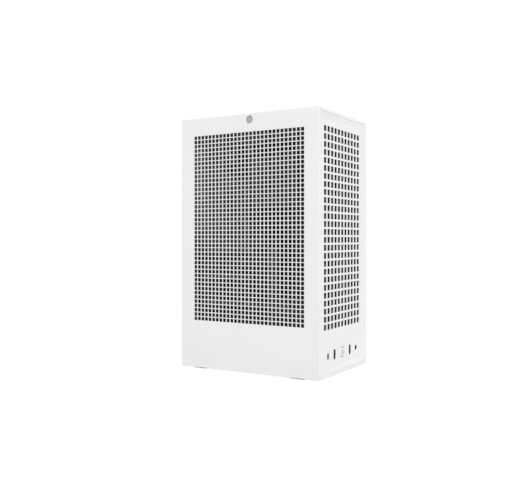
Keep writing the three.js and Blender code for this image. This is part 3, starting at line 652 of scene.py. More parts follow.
def sheet(outline, cuts=(), patches=()):
    """A flat sheet in the drawing's plane, facing up. Outlines are in millimetres."""
    bm = bmesh.new()
    rims = []
    for mesh, middle, size in patches:
        before = set(bm.faces)
        mesh.transform(Matrix.Translation((middle[0], middle[1], 0)))
        bm.from_mesh(mesh)
        half = (size[0] / 2, size[1] / 2)
        for edge in {e for f in set(bm.faces) - before for e in f.edges}:
            at_edge = [
                all(abs(abs(v.co[i] - middle[i]) - half[i]) < 0.01 for v in edge.verts)
                for i in (0, 1)
            ]
            if edge.is_boundary and any(at_edge):
                rims.append(edge)
    for loop in (outline, *cuts):
        verts = [bm.verts.new((x, y, 0)) for x, y in loop]
        rims += [bm.edges.new((a, b)) for a, b in zip(verts, verts[1:] + verts[:1])]
    bmesh.ops.triangle_fill(bm, edges=rims, use_beauty=True, normal=(0, 0, 1))
    for face in bm.faces:
        if face.normal.z < 0:
            face.normal_flip()
    return bm


def fold(bm, steps, sides="LRBT"):
    """Folds the rim of a sheet back. Each step is (outwards across, outwards up, back) in mm."""
    across = [v.co.x for v in bm.verts]
    up = [v.co.y for v in bm.verts]
    edges_at = {"L": (0, min(across)), "R": (0, max(across)), "B": (1, min(up)), "T": (1, max(up))}
    lines = [edges_at[side] for side in sides]
    rim = []
    for edge in bm.edges:
        if any(all(abs(v.co[i] - at) < 0.001 for v in edge.verts) for i, at in lines):
            rim.append(edge)
    outward = {}
    for edge in rim:
        for vert in edge.verts:
            way = Vector((0, 0, 0))
            for i, at in lines:
                if abs(vert.co[i] - at) < 0.001:
                    way[i] = 1 if at > (min(across) + max(across), min(up) + max(up))[i] / 2 else -1
            outward[vert] = way
    moved = {vert: vert for vert in outward}
    for out_across, out_up, back in steps:
        ring = {}
        for vert, way in outward.items():
            shift = Vector((way.x * out_across, way.y * out_up, -back))
            ring[vert] = bm.verts.new(vert.co + shift)
        for edge in rim:
            a, b = edge.verts
            bm.faces.new((moved[a], moved[b], ring[b], ring[a]))
        moved = ring
    bmesh.ops.recalc_face_normals(bm, faces=bm.faces[:])
    if sum(face.normal.z * face.calc_area() for face in bm.faces) < 0:
        bmesh.ops.reverse_faces(bm, faces=bm.faces[:])


def bend(radius, flange, steps=4):
    """The fold steps of one right-angled bend and the flange behind it, in mm."""
    angles = [math.pi / 2 * i / steps for i in range(1, steps + 1)]
    arc = [(radius * math.sin(a), radius * math.sin(a), radius * (1 - math.cos(a))) for a in angles]
    return [*arc, (radius, radius, flange)]


# %% Sheets with a thickness
SHEET_MM = 1.2
BEND_MM = 0.9
WALL = [thickness(SHEET_MM)]
VENT = {"pitch": (7.05, 7.05), "hole": (5.1, 5.1)}  # the plain grid of holes in hidden sheets
print("sheet metal is", SHEET_MM, "mm thick")


def add_plate(bm, stand, outline, cuts=(), patches=(), wall=SHEET_MM):
    """Adds a flat sheet and its thickness to a piece."""
    add_wall(bm, stand, sheet(outline, cuts, patches), wall)


def add_wall(bm, stand, drawn, wall=SHEET_MM):
    """Adds a drawn and folded sheet, with its thickness, to a piece."""
    mesh = with_modifiers(to_mesh(drawn), thickness(wall))
    mesh.transform(stand)
    bm.from_mesh(mesh)

# %% [markdown]
# ## The side panels
# Each side panel is one sheet with 29 by 43 square holes, 5.7 mm wide on a pitch of 7.02 mm. Its rim
# is folded back all round. A round hole near the top edge lets the headset peg through, and four
# ball studs behind the rim snap into springs in the frame, so the panel pulls straight off.

# %% Side panels
SIDE_HOLES = {"columns": 29, "rows": 43, "pitch": (7.02, 7.02), "hole": (5.7, 5.7)}
SIDE_HOLES_MIDDLE_UP = 230.1
STUD_PLACES = [(y, z) for y in (-110, 113.5) for z in (40, 370)]


def ball_stud(bm, matrix):
    """A riveted stud with a neck and a ball, 8 mm long, along the matrix's Z."""
    profile = [(0, 0), (3.6, 0), (3.6, 0.8), (1.3, 1.2), (1.3, 3.2), (2.2, 4.0), (2.4, 5.2)]
    profile += [(2.0, 6.6), (1.0, 7.5), (0, 7.7)]
    turned(bm, profile, matrix, 20)


def side_panel(side, way, sign, body):
    name = f"{side}_side_panel"
    low, high, middle, size = measures(name)
    peg = middle_of(f"{side}_headset_peg")
    flat = (size.y - 2 * BEND_MM, size.z - 2 * BEND_MM)
    holes = patch(middle=(0, SIDE_HOLES_MIDDLE_UP), **SIDE_HOLES)
    bm = sheet(rectangle(*flat, (0, middle.z)), [circle(6.1, (sign * peg.y, peg.z), 40)], [holes])
    fold(bm, bend(BEND_MM, 3.4))
    face = low.x if sign < 0 else high.x
    whole = bmesh.new()
    add_wall(whole, facing(way, (face, 0, 0)), bm)
    for y, z in STUD_PLACES:
        at = (face - sign * SHEET_MM, y, z)
        ball_stud(whole, facing(RIGHT if way is LEFT else LEFT, at))
    finished(name + "_sheet", whole, WHITE_COAT, body, [name], turn_out=False)


side_panel("left", LEFT, -1, "left_panel")
side_panel("right", RIGHT, 1, "right_panel")

# %% [markdown]
# ## Dust filters
# A filter is a net in a thin flexible frame. The frame is magnetic rubber that clings to the panel.


# %% Dust filters
def dust_filter(node, way, body):
    low, high, middle, size = measures(node)
    across = abs(Vector(way[0]).dot(size))
    net = bmesh.new()
    net.faces.new([net.verts.new((x, y, 0)) for x, y in rectangle(across - 8, size.z - 8)])
    rim = bmesh.new()
    outer = rectangle(across, size.z, (0, 0), 4)
    inner = rectangle(across - 12, size.z - 12, (0, 0), 2)
    tube(rim, outer, inner, -0.3, 0.3)
    stand = facing(way, middle)
    finished(node + "_net", net, FILTER_NET, body, [node], matrix=stand, turn_out=False)
    finished(node + "_rim", rim, BLACK_ABS, body, matrix=stand)


dust_filter("left_dust_filter", LEFT, "left_panel")
dust_filter("right_dust_filter", RIGHT, "right_panel")
dust_filter("front_dust_filter", FRONT, "front_cover")

# %% [markdown]
# ## The front panel
# The front is a shallow pressing. Its perforated face lies 2.6 mm back in a sloped border, and
# its 11 by 26 holes are larger, 9 mm on a pitch of 12.5 by 12.1 mm. Below them are the openings
# for two upright USB-A sockets, one USB-C socket, the power button and the audio jack.

# %% Front panel
FACE_BACK = 2.6
BORDER = 8.0
RIM_SIDE, RIM_TOP = 1.5, 0.5
NEAR = 0.42  # how much closer than the solid model the rim comes to its neighbours
BUTTON = (15.5, 13.6)
FRONT_STUDS = [(x, z) for x in (-78, 78) for z in (16, 384)]


def port_middle(node):
    middle = middle_of(node)
    return (middle.x, middle.z)


def front_panel():
    low, high, middle, size = measures("front_panel")
    flat = (size.x - 2 * (RIM_SIDE + BORDER), size.z - 2 * (RIM_TOP + BORDER))
    holes = patch(11, 26, (0, 229.4), (12.49, 12.06), (8.9, 9.0), 0.8)
    cuts = [
        rectangle(6.0, 10.2, port_middle("usb_c_socket"), 2.8, 6),
        rectangle(7.8, 15.5, port_middle("left_usb_socket"), 0.7),
        rectangle(7.8, 15.5, port_middle("right_usb_socket"), 0.7),
        rectangle(BUTTON[0] + 1.0, BUTTON[1] + 2.1, port_middle("power_button"), 3.6, 6),
        circle(4.1, port_middle("audio_socket"), 32),
    ]
    bm = sheet(rectangle(*flat, (0, middle.z)), cuts, [holes])
    side, top = BORDER + RIM_SIDE + NEAR, BORDER + RIM_TOP + NEAR
    slope = [(0.4, 0.4, 0.02), (BORDER - 0.5, BORDER - 0.5, 0.12 - FACE_BACK)]
    rim = [(BORDER, BORDER, -FACE_BACK), (side - 0.3, top - 0.3, -FACE_BACK)]
    back = [(side - 0.08, top - 0.08, 0.08 - FACE_BACK), (side, top, 0.3 - FACE_BACK), (side, top, 3.8)]
    fold(bm, [*slope, *rim, *back])
    whole = bmesh.new()
    add_wall(whole, facing(FRONT, (0, low.y + FACE_BACK, 0)), bm)
    for x, z in FRONT_STUDS:
        ball_stud(whole, facing(REAR, (x, low.y + 4.4, z)))
    finished("front_panel_sheet", whole, WHITE_COAT, "front_cover", ["front_panel"], turn_out=False)


front_panel()

# %% [markdown]
# ## Top cover, handle tray and floor
# The top is a flat sheet whose front and rear edges turn down. Rows of the same square holes let
# warm air out, and a long rounded opening in the middle holds the handle's tray.

# %% Top cover
TRAY_OPENING = (34, 124)


def top_cover():
    low, high, middle, size = measures("top_cover")
    outline = rectangle(size.x, size.y - 2 * BEND_MM)
    fields = [patch(7, 25, (x, 0), **VENT) for x in (-51, 51)]
    bm = sheet(outline, [rectangle(*TRAY_OPENING, (0, 0), 5, 6)], fields)
    fold(bm, bend(BEND_MM, size.z), "BT")
    stand = facing(TOP, (0, 0, high.z))
    finished("top_cover_sheet", bm, WHITE_COAT, "chassis", ["top_cover"], WALL, stand, False)


top_cover()

# %% [markdown]
# The floor is folded the same way, but downwards-facing, with finer holes for air to come in by. Two
# plain edges close its sides.

# %% Floor
FOOT_CORNERS = ("front_left", "front_right", "rear_left", "rear_right")


def floor_pan():
    low, high, middle, size = measures("base_pan")
    outline = rectangle(size.x, size.y - 2 * BEND_MM)
    feet = [middle_of(f"{corner_name}_foot") for corner_name in FOOT_CORNERS]
    field = patch(17, 28, (0, 0), VENT["pitch"], (4.2, 4.2))
    bm = sheet(outline, [circle(1.6, (at.x, -at.y), 16) for at in feet], [field])
    fold(bm, bend(BEND_MM, 4.7), "BT")
    whole = bmesh.new()
    add_wall(whole, facing(UNDER, (0, 0, low.z)), bm)
    for x in (-high.x, high.x - SHEET_MM):
        brick(whole, (x, -113, low.z + 0.6), (x + SHEET_MM, 113, high.z))
    finished("floor_pan_sheet", whole, WHITE_COAT, "chassis", ["base_pan"], turn_out=False)


floor_pan()

# %% [markdown]
# ## Feet
# Four low pads of silicone rubber are glued under the floor. Each has round corners, a softened edge
# and a sunk middle with five grip ribs.


# %% Feet
def foot(corner_name):
    low, high, middle, size = measures(f"{corner_name}_foot")
    bm = bmesh.new()
    outline = rectangle(size.x, size.y, (0, 0), 3.5, 6)
    groove = rectangle(size.x - 3, size.y - 3, (0, 0), 2.2, 6)
    prism(bm, outline, -size.z / 2 + 0.7, size.z / 2 + 0.2)
    tube(bm, outline, groove, -size.z / 2, -size.z / 2 + 0.9)
    for i in (-2, -1, 0, 1, 2):
        rib = rectangle(size.x - 4.5, 1.6, (0, i * 4.2), 0.7)
        prism(bm, rib, -size.z / 2 + 0.15, -size.z / 2 + 0.9)
    name = f"{corner_name}_rubber_foot"
    place = facing(TOP, middle)
    finished(name, bm, RUBBER, "chassis", [f"{corner_name}_foot"], [rounding(0.25)], place)


for corner_name in FOOT_CORNERS:
    foot(corner_name)

# %% [markdown]
# ## Carry handle
# The handle is a flat steel bar with two legs. It lies flush in a moulded tray and pulls up 28 mm,
# until the stops on its legs meet the deck. The tray has a rounded rim and softened inner edges.


# %% Handle and its tray
HANDLE_LEGS = (-50, 50)


def carry_handle():
    low, high = box_mm("carry_handle")
    bm = bmesh.new()
    prism(bm, rectangle(12, 112, (0, 0), 5.9, 8), high.z - 6, high.z)
    for y in HANDLE_LEGS:
        prism(bm, rectangle(8, 8, (0, y), 1.2, 3), low.z + 2.4, high.z - 5.5)
        prism(bm, rectangle(14, 14, (0, y), 2, 3), low.z, low.z + 3)
    finished("carry_handle_bar", bm, WHITE_COAT, "handle", ["carry_handle"], [rounding(0.8, 3)])


def handle_tray():
    low, high = box_mm("handle_tray")
    bm = bmesh.new()
    outer, inner = (rectangle(w, h, (0, 0), r, 8) for w, h, r in ((36.4, 126.4, 6), (33.6, 123.6, 4.8)))
    tube(bm, outer, inner, low.z, high.z)
    holes = [rectangle(9, 9, (0, y), 1.6, 3) for y in HANDLE_LEGS]
    add_plate(bm, facing(TOP, (0, 0, low.z + 1.2)), rectangle(35, 125, (0, 0), 5.4, 8), holes)
    for i in range(-4, 5):
        prism(bm, rectangle(30, 1.0, (0, i * 9), 0.4, 2), low.z + 1.1, low.z + 1.7)
    finished("handle_tray_moulding", bm, WHITE_ABS, "chassis", ["handle_tray"], turn_out=False)


carry_handle()
handle_tray()

# %% [markdown]
# ## Headset pegs
# A push lets each peg spring out 28 mm, and a headset hangs on it. The head is a satin grey disc
# with a turned step, and the neck behind it is thinner so that the headband stays on.


# %% Headset pegs and sleeves
def outer_end(side, node):
    """Where a piece's outer end meets its axis, on the left or right side of the box."""
    low, high, middle, size = measures(node)
    peg = middle_of(f"{side}_headset_peg")
    return (low.x if side == "left" else high.x, peg.y, peg.z)


def headset_peg(side, way):
    node = f"{side}_headset_peg"
    head = [(0, -0.5), (3.9, -0.5), (4.2, -0.15), (5.0, 0), (5.5, -0.5), (5.5, -3.4), (4.9, -4.2)]
    neck = [(4.2, -5.2), (4.2, -28.4), (5.5, -29.4), (5.5, -35.6), (5.1, -36), (0, -36)]
    bm = bmesh.new()
    turned(bm, head + neck, facing(way, outer_end(side, node)), 48)
    finished(node + "_turned", bm, GREY_ABS, f"{side}_peg", [node])


def peg_sleeve(side, way):
    node = f"{side}_peg_sleeve"
    low, high, middle, size = measures(node)
    at = outer_end(side, node)
    bm = bmesh.new()
    collar, outer, inner = (circle(r, (0, 0), 40) for r in (6.9 * 1.06, 6.9, 5.8))
    stand = facing(way, at)
    tube(bm, outer, inner, -size.x, 0, stand)
    for back in (1.2, 33.6):
        tube(bm, collar, inner, -back - 1.2, -back, stand)
    foot_up = at[2] - low.z
    base = rectangle(10, foot_up - 6.4, (0, -(foot_up + 6.4) / 2), 0.4, 2)
    prism(bm, base, -size.x, 0, stand)
    finished(node + "_moulding", bm, BLACK_ABS, "chassis", [node])


for side, way in (("left", LEFT), ("right", RIGHT)):
    headset_peg(side, way)
    peg_sleeve(side, way)

# %% [markdown]
# ## Front sockets
# A USB-A socket is a folded plated shell round a plastic tongue with four gold contacts, and here it
# stands upright. Its shell has springs that grip the plug. A USB-C socket is a seamless
# stadium-shaped shell with a thin tongue, set back in a matt black collar that fills the opening. The
# audio jack is a matt black ring with a wide mouth.


# %% Front sockets
def front_place(node):
    """Where a socket's mouth is, as the matrix of its drawing, and its width, height and depth."""
    low, high, middle, size = measures(node)
    return facing(FRONT, (middle.x, low.y, middle.z)), size.x, size.z, size.y


def contact_row(name, contact, low, high, count, step, stand):
    """Gold contacts one above the other: one is drawn, and the row tree repeats it."""
    strip = bmesh.new()
    prism(strip, contact, low, high)
    contacts = grow(ROW, to_mesh(strip), Count=count, Step=(0, step, 0))
    finished(name + "_contacts", contacts, GOLD, "chassis", matrix=stand)


def usb_a_socket(node, tongue_offset):
    """An upright socket in three finishes: shell, tongue and contacts."""
    stand, width, height, depth = front_place(node)
    shell, tongue = bmesh.new(), bmesh.new()
    outer = rectangle(width, height, (0, 0), 0.7, 3)
    inner = rectangle(width - 1.0, height - 1.0, (0, 0), 0.3, 3)
    tube(shell, outer, inner, -depth, 0, stand)
    prism(shell, inner, -depth, -(depth - 2), stand)
    for up in (-3.2, 3.2):
        prism(shell, rectangle(0.9, 2.4, (width / 2 - 0.75, up), 0.3, 2), -8, -1.8, stand)
    finished(node + "_shell", shell, PLATED_STEEL, "chassis", [node])
    bar = rectangle(1.9, height - 3.4, (tongue_offset, 0), 0.3, 2)
    prism(tongue, bar, -(depth - 1), -0.9, stand)
    finished(node + "_tongue", tongue, BLACK_ABS, "chassis", modifiers=[rounding(0.15)])
    contact_row(node, rectangle(0.12, 1.1, (tongue_offset + 1.0, -3.75)), -8, -1.6, 4, 2.5, stand)


def usb_c_socket():
    node = "usb_c_socket"
    stand, width, height, depth = front_place(node)
    shell, tongue, collar = bmesh.new(), bmesh.new(), bmesh.new()
    outer = rectangle(width, height, (0, 0), width / 2 - 0.01, 8)
    inner = rectangle(width - 0.7, height - 0.7, (0, 0), width / 2 - 0.36, 8)
    tube(shell, outer, inner, -depth, -0.9, stand)
    prism(shell, inner, -depth, -(depth - 2), stand)
    finished(node + "_shell", shell, PLATED_STEEL, "chassis", [node], [rounding(0.08)])
    prism(tongue, rectangle(0.7, 6.2, (0, 0), 0.3, 3), -(depth - 1), -1.6, stand)
    finished(node + "_tongue", tongue, MATT_BLACK, "chassis")
    contact_row(node, rectangle(0.1, 0.25, (0.38, -2.5)), -5, -1.4, 11, 0.5, stand)
    around = rectangle(5.6, 9.9, (0, 0), 2.6, 8)
    tube(collar, around, inner, -0.8, 0, stand)
    tube(collar, around, outer, -3.5, -0.8, stand)
    finished(node + "_collar", collar, MATT_BLACK, "chassis")


def audio_socket():
    stand, width, height, depth = front_place("audio_socket")
    bm = bmesh.new()
    outer, mouth, bore = (circle(r, (0, 0), 40) for r in (3.65, 3.05, 1.85))
    tube(bm, outer, mouth, -2.4, 0, stand)
    tube(bm, outer, bore, -depth, -2.4, stand)
    prism(bm, rectangle(9.5, 9.5, (0, 0), 1, 3), -depth, -depth + 12, stand)
    finished("audio_socket_ring", bm, MATT_BLACK, "chassis", ["audio_socket"], [rounding(0.3)])


usb_a_socket("left_usb_socket", -1.2)
usb_a_socket("right_usb_socket", -1.2)
usb_c_socket()
audio_socket()

# %% [markdown]
# ## Power button
# The button is a rounded cap of white plastic with a narrow gap all round. A black skirt behind the
# gap keeps light from leaking out of it, and a grey upright bar in its face is its light pipe.


# %% Power button
def power_button():
    stand, width, height, depth = front_place("power_button")
    cap, skirt, mark = bmesh.new(), bmesh.new(), bmesh.new()
    prism(cap, rectangle(*BUTTON, (0, 0), 3.2, 8), -4.6, 0, stand)
    prism(cap, circle(3, (0, 0), 24), -depth, -4.2, stand)
    finished("power_button_cap", cap, WHITE_ABS, "button", ["power_button"], [rounding(0.4, 3)])
    prism(skirt, rectangle(18.6, 17.2, (0, 0), 3.6, 6), -3.4, -2.7, stand)
    finished("power_button_skirt", skirt, MATT_BLACK, "button")
    prism(mark, rectangle(4.2, 8.8, (0, 0), 1.8, 6), -0.3, 0.03, stand)
    finished("power_button_mark", mark, MARK_GREY, "button")


power_button()

# %% [markdown]
# ## Inner frames
# Behind the panels stands a frame of flat and folded sheets. The front and rear frames have side
# flanges with a round hole for each ball stud. Each fan blows through a grid of square holes, 5 mm
# wide, which is the same punch tool as the one for the panels.

# %% Frame sheets
FAN_HOLES = {"columns": 14, "rows": 14, "pitch": (6.9, 6.9), "hole": (5.6, 5.6)}
FAN_SCREWS = 52.5  # from the fan's middle to its screws, across and up
STUD_HOLE = 3.4


def flange(bm, side, y0, y1, stud_y):
    """One upright side flange with two holes for ball studs."""
    outline = rectangle(y1 - y0, 362, ((y0 + y1) / 2 * side, 200))
    holes = [circle(STUD_HOLE, (stud_y * side, z), 20) for z in (40, 370)]
    add_plate(bm, facing(RIGHT if side > 0 else LEFT, (side * 85, 0, 0)), outline, holes)


def front_frame():
    low, high, middle, size = measures("front_frame")
    fan, supply = middle_of("front_fan_frame"), middle_of("power_supply_case")
    fan_holes = patch(middle=(fan.x, fan.z), corner=0.6, **FAN_HOLES)
    supply_holes = patch(15, 16, (supply.x, supply.z), (7.05, 7.05), (5.6, 5.6), 0.6)
    cuts = [
        rectangle(6, 12, port_middle("usb_c_socket"), 2),
        rectangle(10, 18, port_middle("left_usb_socket"), 1.5),
        rectangle(10, 18, port_middle("right_usb_socket"), 1.5),
        rectangle(14, 14, port_middle("power_button"), 2),
        circle(5, port_middle("audio_socket"), 28),
        *(circle(STUD_HOLE, at, 20) for at in FRONT_STUDS),
    ]
    whole = bmesh.new()
    outline = rectangle(size.x, size.z, (0, middle.z))
    add_plate(whole, facing(FRONT, (0, low.y, 0)), outline, cuts, [fan_holes, supply_holes])
    for side in (-1, 1):
        flange(whole, side, low.y, high.y, -110)
    finished("front_frame_sheet", whole, WHITE_COAT, "chassis", ["front_frame"], turn_out=False)


def rear_frame():
    """Seen from the rear, what lies at x is drawn at -x."""
    low, high, middle, size = measures("rear_frame")
    fan, inlet, io = middle_of("rear_fan_frame"), middle_of("mains_inlet"), middle_of("socket_shield")
    fan_holes = patch(middle=(-fan.x, fan.z), corner=0.6, **FAN_HOLES)
    vents = patch(5, 21, (56, 297), **VENT)
    cuts = [rectangle(44.4, 158.7, (-io.x, io.z), 1), rectangle(28.6, 21.6, (-inlet.x, inlet.z), 1.5)]
    for number in (1, 2):
        cover = middle_of(f"slot_cover_{number}")
        cuts += [rectangle(13, 106, (-cover.x, 277), 1), circle(1.5, (-cover.x, 335), 14)]
    whole = bmesh.new()
    outline = rectangle(size.x, size.z, (0, middle.z))
    add_plate(whole, facing(REAR, (0, high.y, 0)), outline, cuts, [fan_holes, vents])
    for side in (-1, 1):
        flange(whole, side, low.y, high.y - SHEET_MM, 113.5)
    finished("rear_frame_sheet", whole, WHITE_COAT, "chassis", ["rear_frame"], turn_out=False)


front_frame()
rear_frame()

# %% [markdown]
# Between the frames lie the deck that the handle's tray hangs in, the upright tray that carries the
# mainboard on four spacers, and a slotted bracket that holds the power supply.


# %% Top deck, mainboard tray and bracket
def top_deck():
    low, high, middle, size = measures("top_deck")
    outline = rectangle(size.x - 2 * BEND_MM, size.y, (0, middle.y))
    fields = [patch(8, 27, (x, 1.5), **VENT) for x in (-47, 47)]
    bm = sheet(outline, [rectangle(9, 9, (0, y), 1.6, 3) for y in HANDLE_LEGS], fields)
    fold(bm, bend(BEND_MM, size.z), "LR")
    stand = facing(TOP, (0, 0, high.z))
    finished("top_deck_sheet", bm, WHITE_COAT, "chassis", ["top_deck"], WALL, stand, False)


def mainboard_tray():
    low, high, middle, size = measures("mainboard_tray")
    board_low, board_high = box_mm("mainboard")
    face = board_high.x + 6.3
    cuts = [rectangle(70, 70, (-28, 312), 4, 5)]
    cuts += [rectangle(22, 10, (-y, low.z + 14), 4.9, 6) for y in (-20, 40, 90)]
    bm = bmesh.new()
    add_plate(bm, facing(LEFT, (face, 0, 0)), rectangle(size.y, size.z, (-middle.y, middle.z), 2, 3), cuts)
    brick(bm, (face, high.y - SHEET_MM, low.z), (face + 10, high.y, high.z))
    for y in (board_low.y + 10, board_low.y + 160):
        for z in (board_low.z + 6.4, board_low.z + 163.6):
            prism(bm, circle(3, (0, 0), 6), 0, 6.0, facing(LEFT, (face, y, z)))
    finished("mainboard_tray_sheet", bm, WHITE_COAT, "chassis", ["mainboard_tray"])


def supply_bracket():
    node = "power_supply_bracket"
    low, high, middle, size = measures(node)
    outline = rectangle(size.y, size.z, (middle.y, middle.z), 1, 2)
    cuts = [rectangle(16, 90, (middle.y + shift, middle.z), 4, 5) for shift in (-22, 0, 22)]
    bm = bmesh.new()
    add_plate(bm, facing(RIGHT, (low.x + SHEET_MM, 0, 0)), outline, cuts)
    brick(bm, low, (high.x, low.y + SHEET_MM, high.z))
    finished("supply_bracket_sheet", bm, WHITE_COAT, "chassis", [node], turn_out=False)


top_deck()
mainboard_tray()
supply_bracket()

# %% [markdown]
# ## Fans
# A fan frame is a square moulding with a round duct, a flange at each face and a hollow between the
# flanges at the corners. Four struts hold the motor. A blade is a thin, swept sheet that is steep at
# the hub and flat at the tip. One blade is drawn, and the ring tree turns it round the hub.


# %% Fan parts
def square_ring(bm, size, radius, low, high, corner, matrix, steps=48):
    """A plate with square outside, round bore. Both outlines have the same number of points."""
    outer, inner = [], []
    for i in range(steps):
        angle = 2 * math.pi * i / steps
        x, y = math.cos(angle), math.sin(angle)
        reach = 1 / max(abs(x), abs(y))
        round_off = 1 - corner * (min(abs(x), abs(y)) / max(abs(x), abs(y))) ** 8
        outer.append((x * reach * size / 2 * round_off, y * reach * size / 2 * round_off))
        inner.append((x * radius, y * radius))
    tube(bm, outer, inner, low, high, matrix)


def fan_frame(name, matrix):
    bm = bmesh.new()
    for low, high in ((0, 4), (21, 25)):
        square_ring(bm, 120, 57.6, low, high, 0.05, matrix)
    tube(bm, circle(59.4, steps=48), circle(57.5, steps=48), 3.5, 21.5, matrix)
    for at in corners((0, 0), FAN_SCREWS):
        tube(bm, circle(4.6, at, 20), circle(2.2, at, 20), 0, 25, matrix)
    seat = [(0, 0.3), (19.2, 0.3), (20, 1.0), (20, 2.2), (0, 2.2)]
    turned(bm, seat, matrix, 40)
    strut = bmesh.new()
    points = [(19, -1.6), (58, -3.4), (58, 0.4), (19, 1.6)]
    prism(strut, points, 0.4, 2.4)
    struts = grow(RING, to_mesh(strut), Count=4)
    struts.transform(matrix @ Matrix.Rotation(math.radians(40), 4, "Z"))
    bm.from_mesh(struts)
    finished(name + "_moulding", bm, BLACK_ABS, "chassis", [name], [rounding(0.5)])


def blade(hub, tip, depth, sweep):
    """One fan blade: rows of points run along it, from the hub out to the tip."""
    bm = bmesh.new()
    rows = []
    across, along = 7, 8
    for j in range(along + 1):
        out = j / along
        radius = hub - 0.6 + (tip - hub + 0.6) * out
        row = []
        for i in range(across + 1):
            chord = i / across - 0.5
            angle = sweep * chord * (1.15 - 0.1 * out) + 0.22 * out * out
            camber = 0.1 * depth * (1 - 4 * chord * chord)
            height = depth * (0.5 + chord * (0.95 - 0.25 * out)) + camber * 0.5
            at = (radius * math.cos(angle), radius * math.sin(angle), height)
            row.append(bm.verts.new(Vector(at)))
        rows.append(row)
    for near, far in zip(rows, rows[1:]):
        for i in range(across):
            bm.faces.new((near[i], far[i], far[i + 1], near[i + 1]))
    return with_modifiers(to_mesh(bm), thickness(1.3, 0.0))


def fan_rotor(name, body, matrix, hub, tip, depth, count):
    blades = grow(RING, blade(hub, tip, depth * 0.86, 2.2 * math.pi / count * 0.8), Count=count)
    bm = bmesh.new()
    bm.from_mesh(blades)
    cap = [(0, 0), (hub - 2.5, 0), (hub - 0.6, 0.7), (hub, 2.2), (hub, depth - 0.4)]
    cap += [(hub - 1.5, depth - 0.4), (hub - 1.5, 2.6), (0, 2.4)]
    turned(bm, [(r, depth - h) for r, h in cap], Matrix(), 48)
    finished(name + "_moulding", bm, BLACK_ABS, body, [name], matrix=matrix)


def fan_matrix(node, side):
    """A fan's drawing has its struts at height 0 and its front at its depth."""
    low, high, middle, size = measures(node)
    return facing(side, (middle.x, high.y if side is FRONT else low.y, middle.z))


for name, body in (("front_fan", "front_fan"), ("rear_fan", "rear_fan")):
    fan_frame(f"{name}_frame", fan_matrix(f"{name}_frame", FRONT))
    fan_rotor(f"{name}_rotor", body, fan_matrix(f"{name}_rotor", FRONT), 19.5, 55.5, 19.5, 9)
fan_rotor("power_supply_rotor", "supply_fan", fan_matrix("power_supply_rotor", FRONT), 15, 42, 13.5, 7)

# %% [markdown]
# ## Power supply
# The supply is a painted steel box. A wire guard of rings covers its fan. One plastic moulding in its
# left side holds the mains socket, with three flat pins, and the well of the rocker switch.


# %% Power supply case and guard
def supply_case():
    name = "power_supply_case"
    low, high, middle, size = measures(name)
    fan, port = middle_of("power_supply_rotor"), middle_of("power_supply_socket")
    bm = bmesh.new()

    def wall(side, face, width, height, cuts=(), patches=()):
        add_plate(bm, facing(side, face), rectangle(width, height), cuts, patches)

    inset = 2 * SHEET_MM + 0.1
    front_cut = [circle(43.5, (fan.x - middle.x, fan.z - middle.z), 48)]
    front_cut += [circle(2, at, 12) for at in corners((0, 0), 41)]
    rear = patch(11, 13, (0, 0), VENT["pitch"], (4.6, 4.6))
    slot = rectangle(26.4, 54.6, (middle.y - port.y, port.z - middle.z), 1)
    wall(FRONT, (middle.x, low.y, middle.z), size.x, size.z, front_cut)
    wall(REAR, (middle.x, high.y, middle.z), size.x, size.z, (), [rear])
    wall(LEFT, (low.x, middle.y, middle.z), size.y - inset, size.z, [slot])
    wall(RIGHT, (high.x, middle.y, middle.z), size.y - inset, size.z)
    wall(TOP, (middle.x, middle.y, high.z), size.x - inset, size.y - inset)
    wall(UNDER, (middle.x, middle.y, low.z), size.x - inset, size.y - inset)
    finished(name + "_sheet", bm, BLACK_COAT, "chassis", [name], turn_out=False)


def wire_ring(bm, radius, wire, matrix, steps=56, sides=8):
    """A closed ring of round wire about Z."""
    rings = []
    for i in range(steps):
        a = 2 * math.pi * i / steps
        out = Vector((math.cos(a), math.sin(a), 0))
        ring = []
        for j in range(sides):
            b = 2 * math.pi * j / sides
            point = out * (radius + wire * math.cos(b)) + Vector((0, 0, wire * math.sin(b)))
            ring.append(bm.verts.new(matrix @ (point)))
        rings.append(ring)
    for i, near in enumerate(rings):
        far = rings[(i + 1) % steps]
        for j in range(sides):
            k = (j + 1) % sides
            bm.faces.new((near[j], far[j], far[k], near[k]))


def fan_guard():
    low, high = box_mm("power_supply_case")
    fan = middle_of("power_supply_rotor")
    stand = facing(FRONT, Vector((fan.x, low.y + 0.7, fan.z)))
    bm = bmesh.new()
    for radius in (12, 20, 28, 36, 43):
        wire_ring(bm, radius, 0.6, stand)
    for turn in range(4):
        spoke = Matrix.Rotation(math.pi / 4 + turn * math.pi / 2, 4, "Z")
        bar = rectangle(46, 1.2, (35, 0), 0.5, 3)
        prism(bm, bar, -1.2, -0.1, stand @ spoke)
    finished("supply_fan_guard", bm, PLATED_STEEL, "chassis")


supply_case()
fan_guard()


# %% [markdown]
# The mains sockets are C14 inlets: a flange, a well with two cut corners, and three flat pins. The
# rocker sits in a well of its own, on a pivot across its middle.


# %% Mains sockets and rocker
def mains_socket(name, side, at, flange_size, depth, replaces):
    stand = facing(side, at)
    bm, pins = bmesh.new(), bmesh.new()
    well = [(-12, 8), (-12, -5), (-8, -8), (8, -8), (12, -5), (12, 8)]
    add_plate(bm, stand, rectangle(*flange_size, (0, 0), 2, 3), [well], wall=2.0)
    inner = list(reversed(well))
    outer = [(x * 1.09, y * 1.12) for x, y in inner]
    tube(bm, outer, inner, -depth, -1.0, stand)
    prism(bm, outer, -(depth + 1.5), -depth, stand)
    finished(name + "_moulding", bm, BLACK_ABS, "chassis", replaces)
    for at in ((-7, -2), (0, 2), (7, -2)):
        prism(pins, rectangle(2, 5, at, 0.4, 2), -(depth + 0.5), -4, stand)
    finished(name + "_pins", pins, PLATED_STEEL, "chassis")


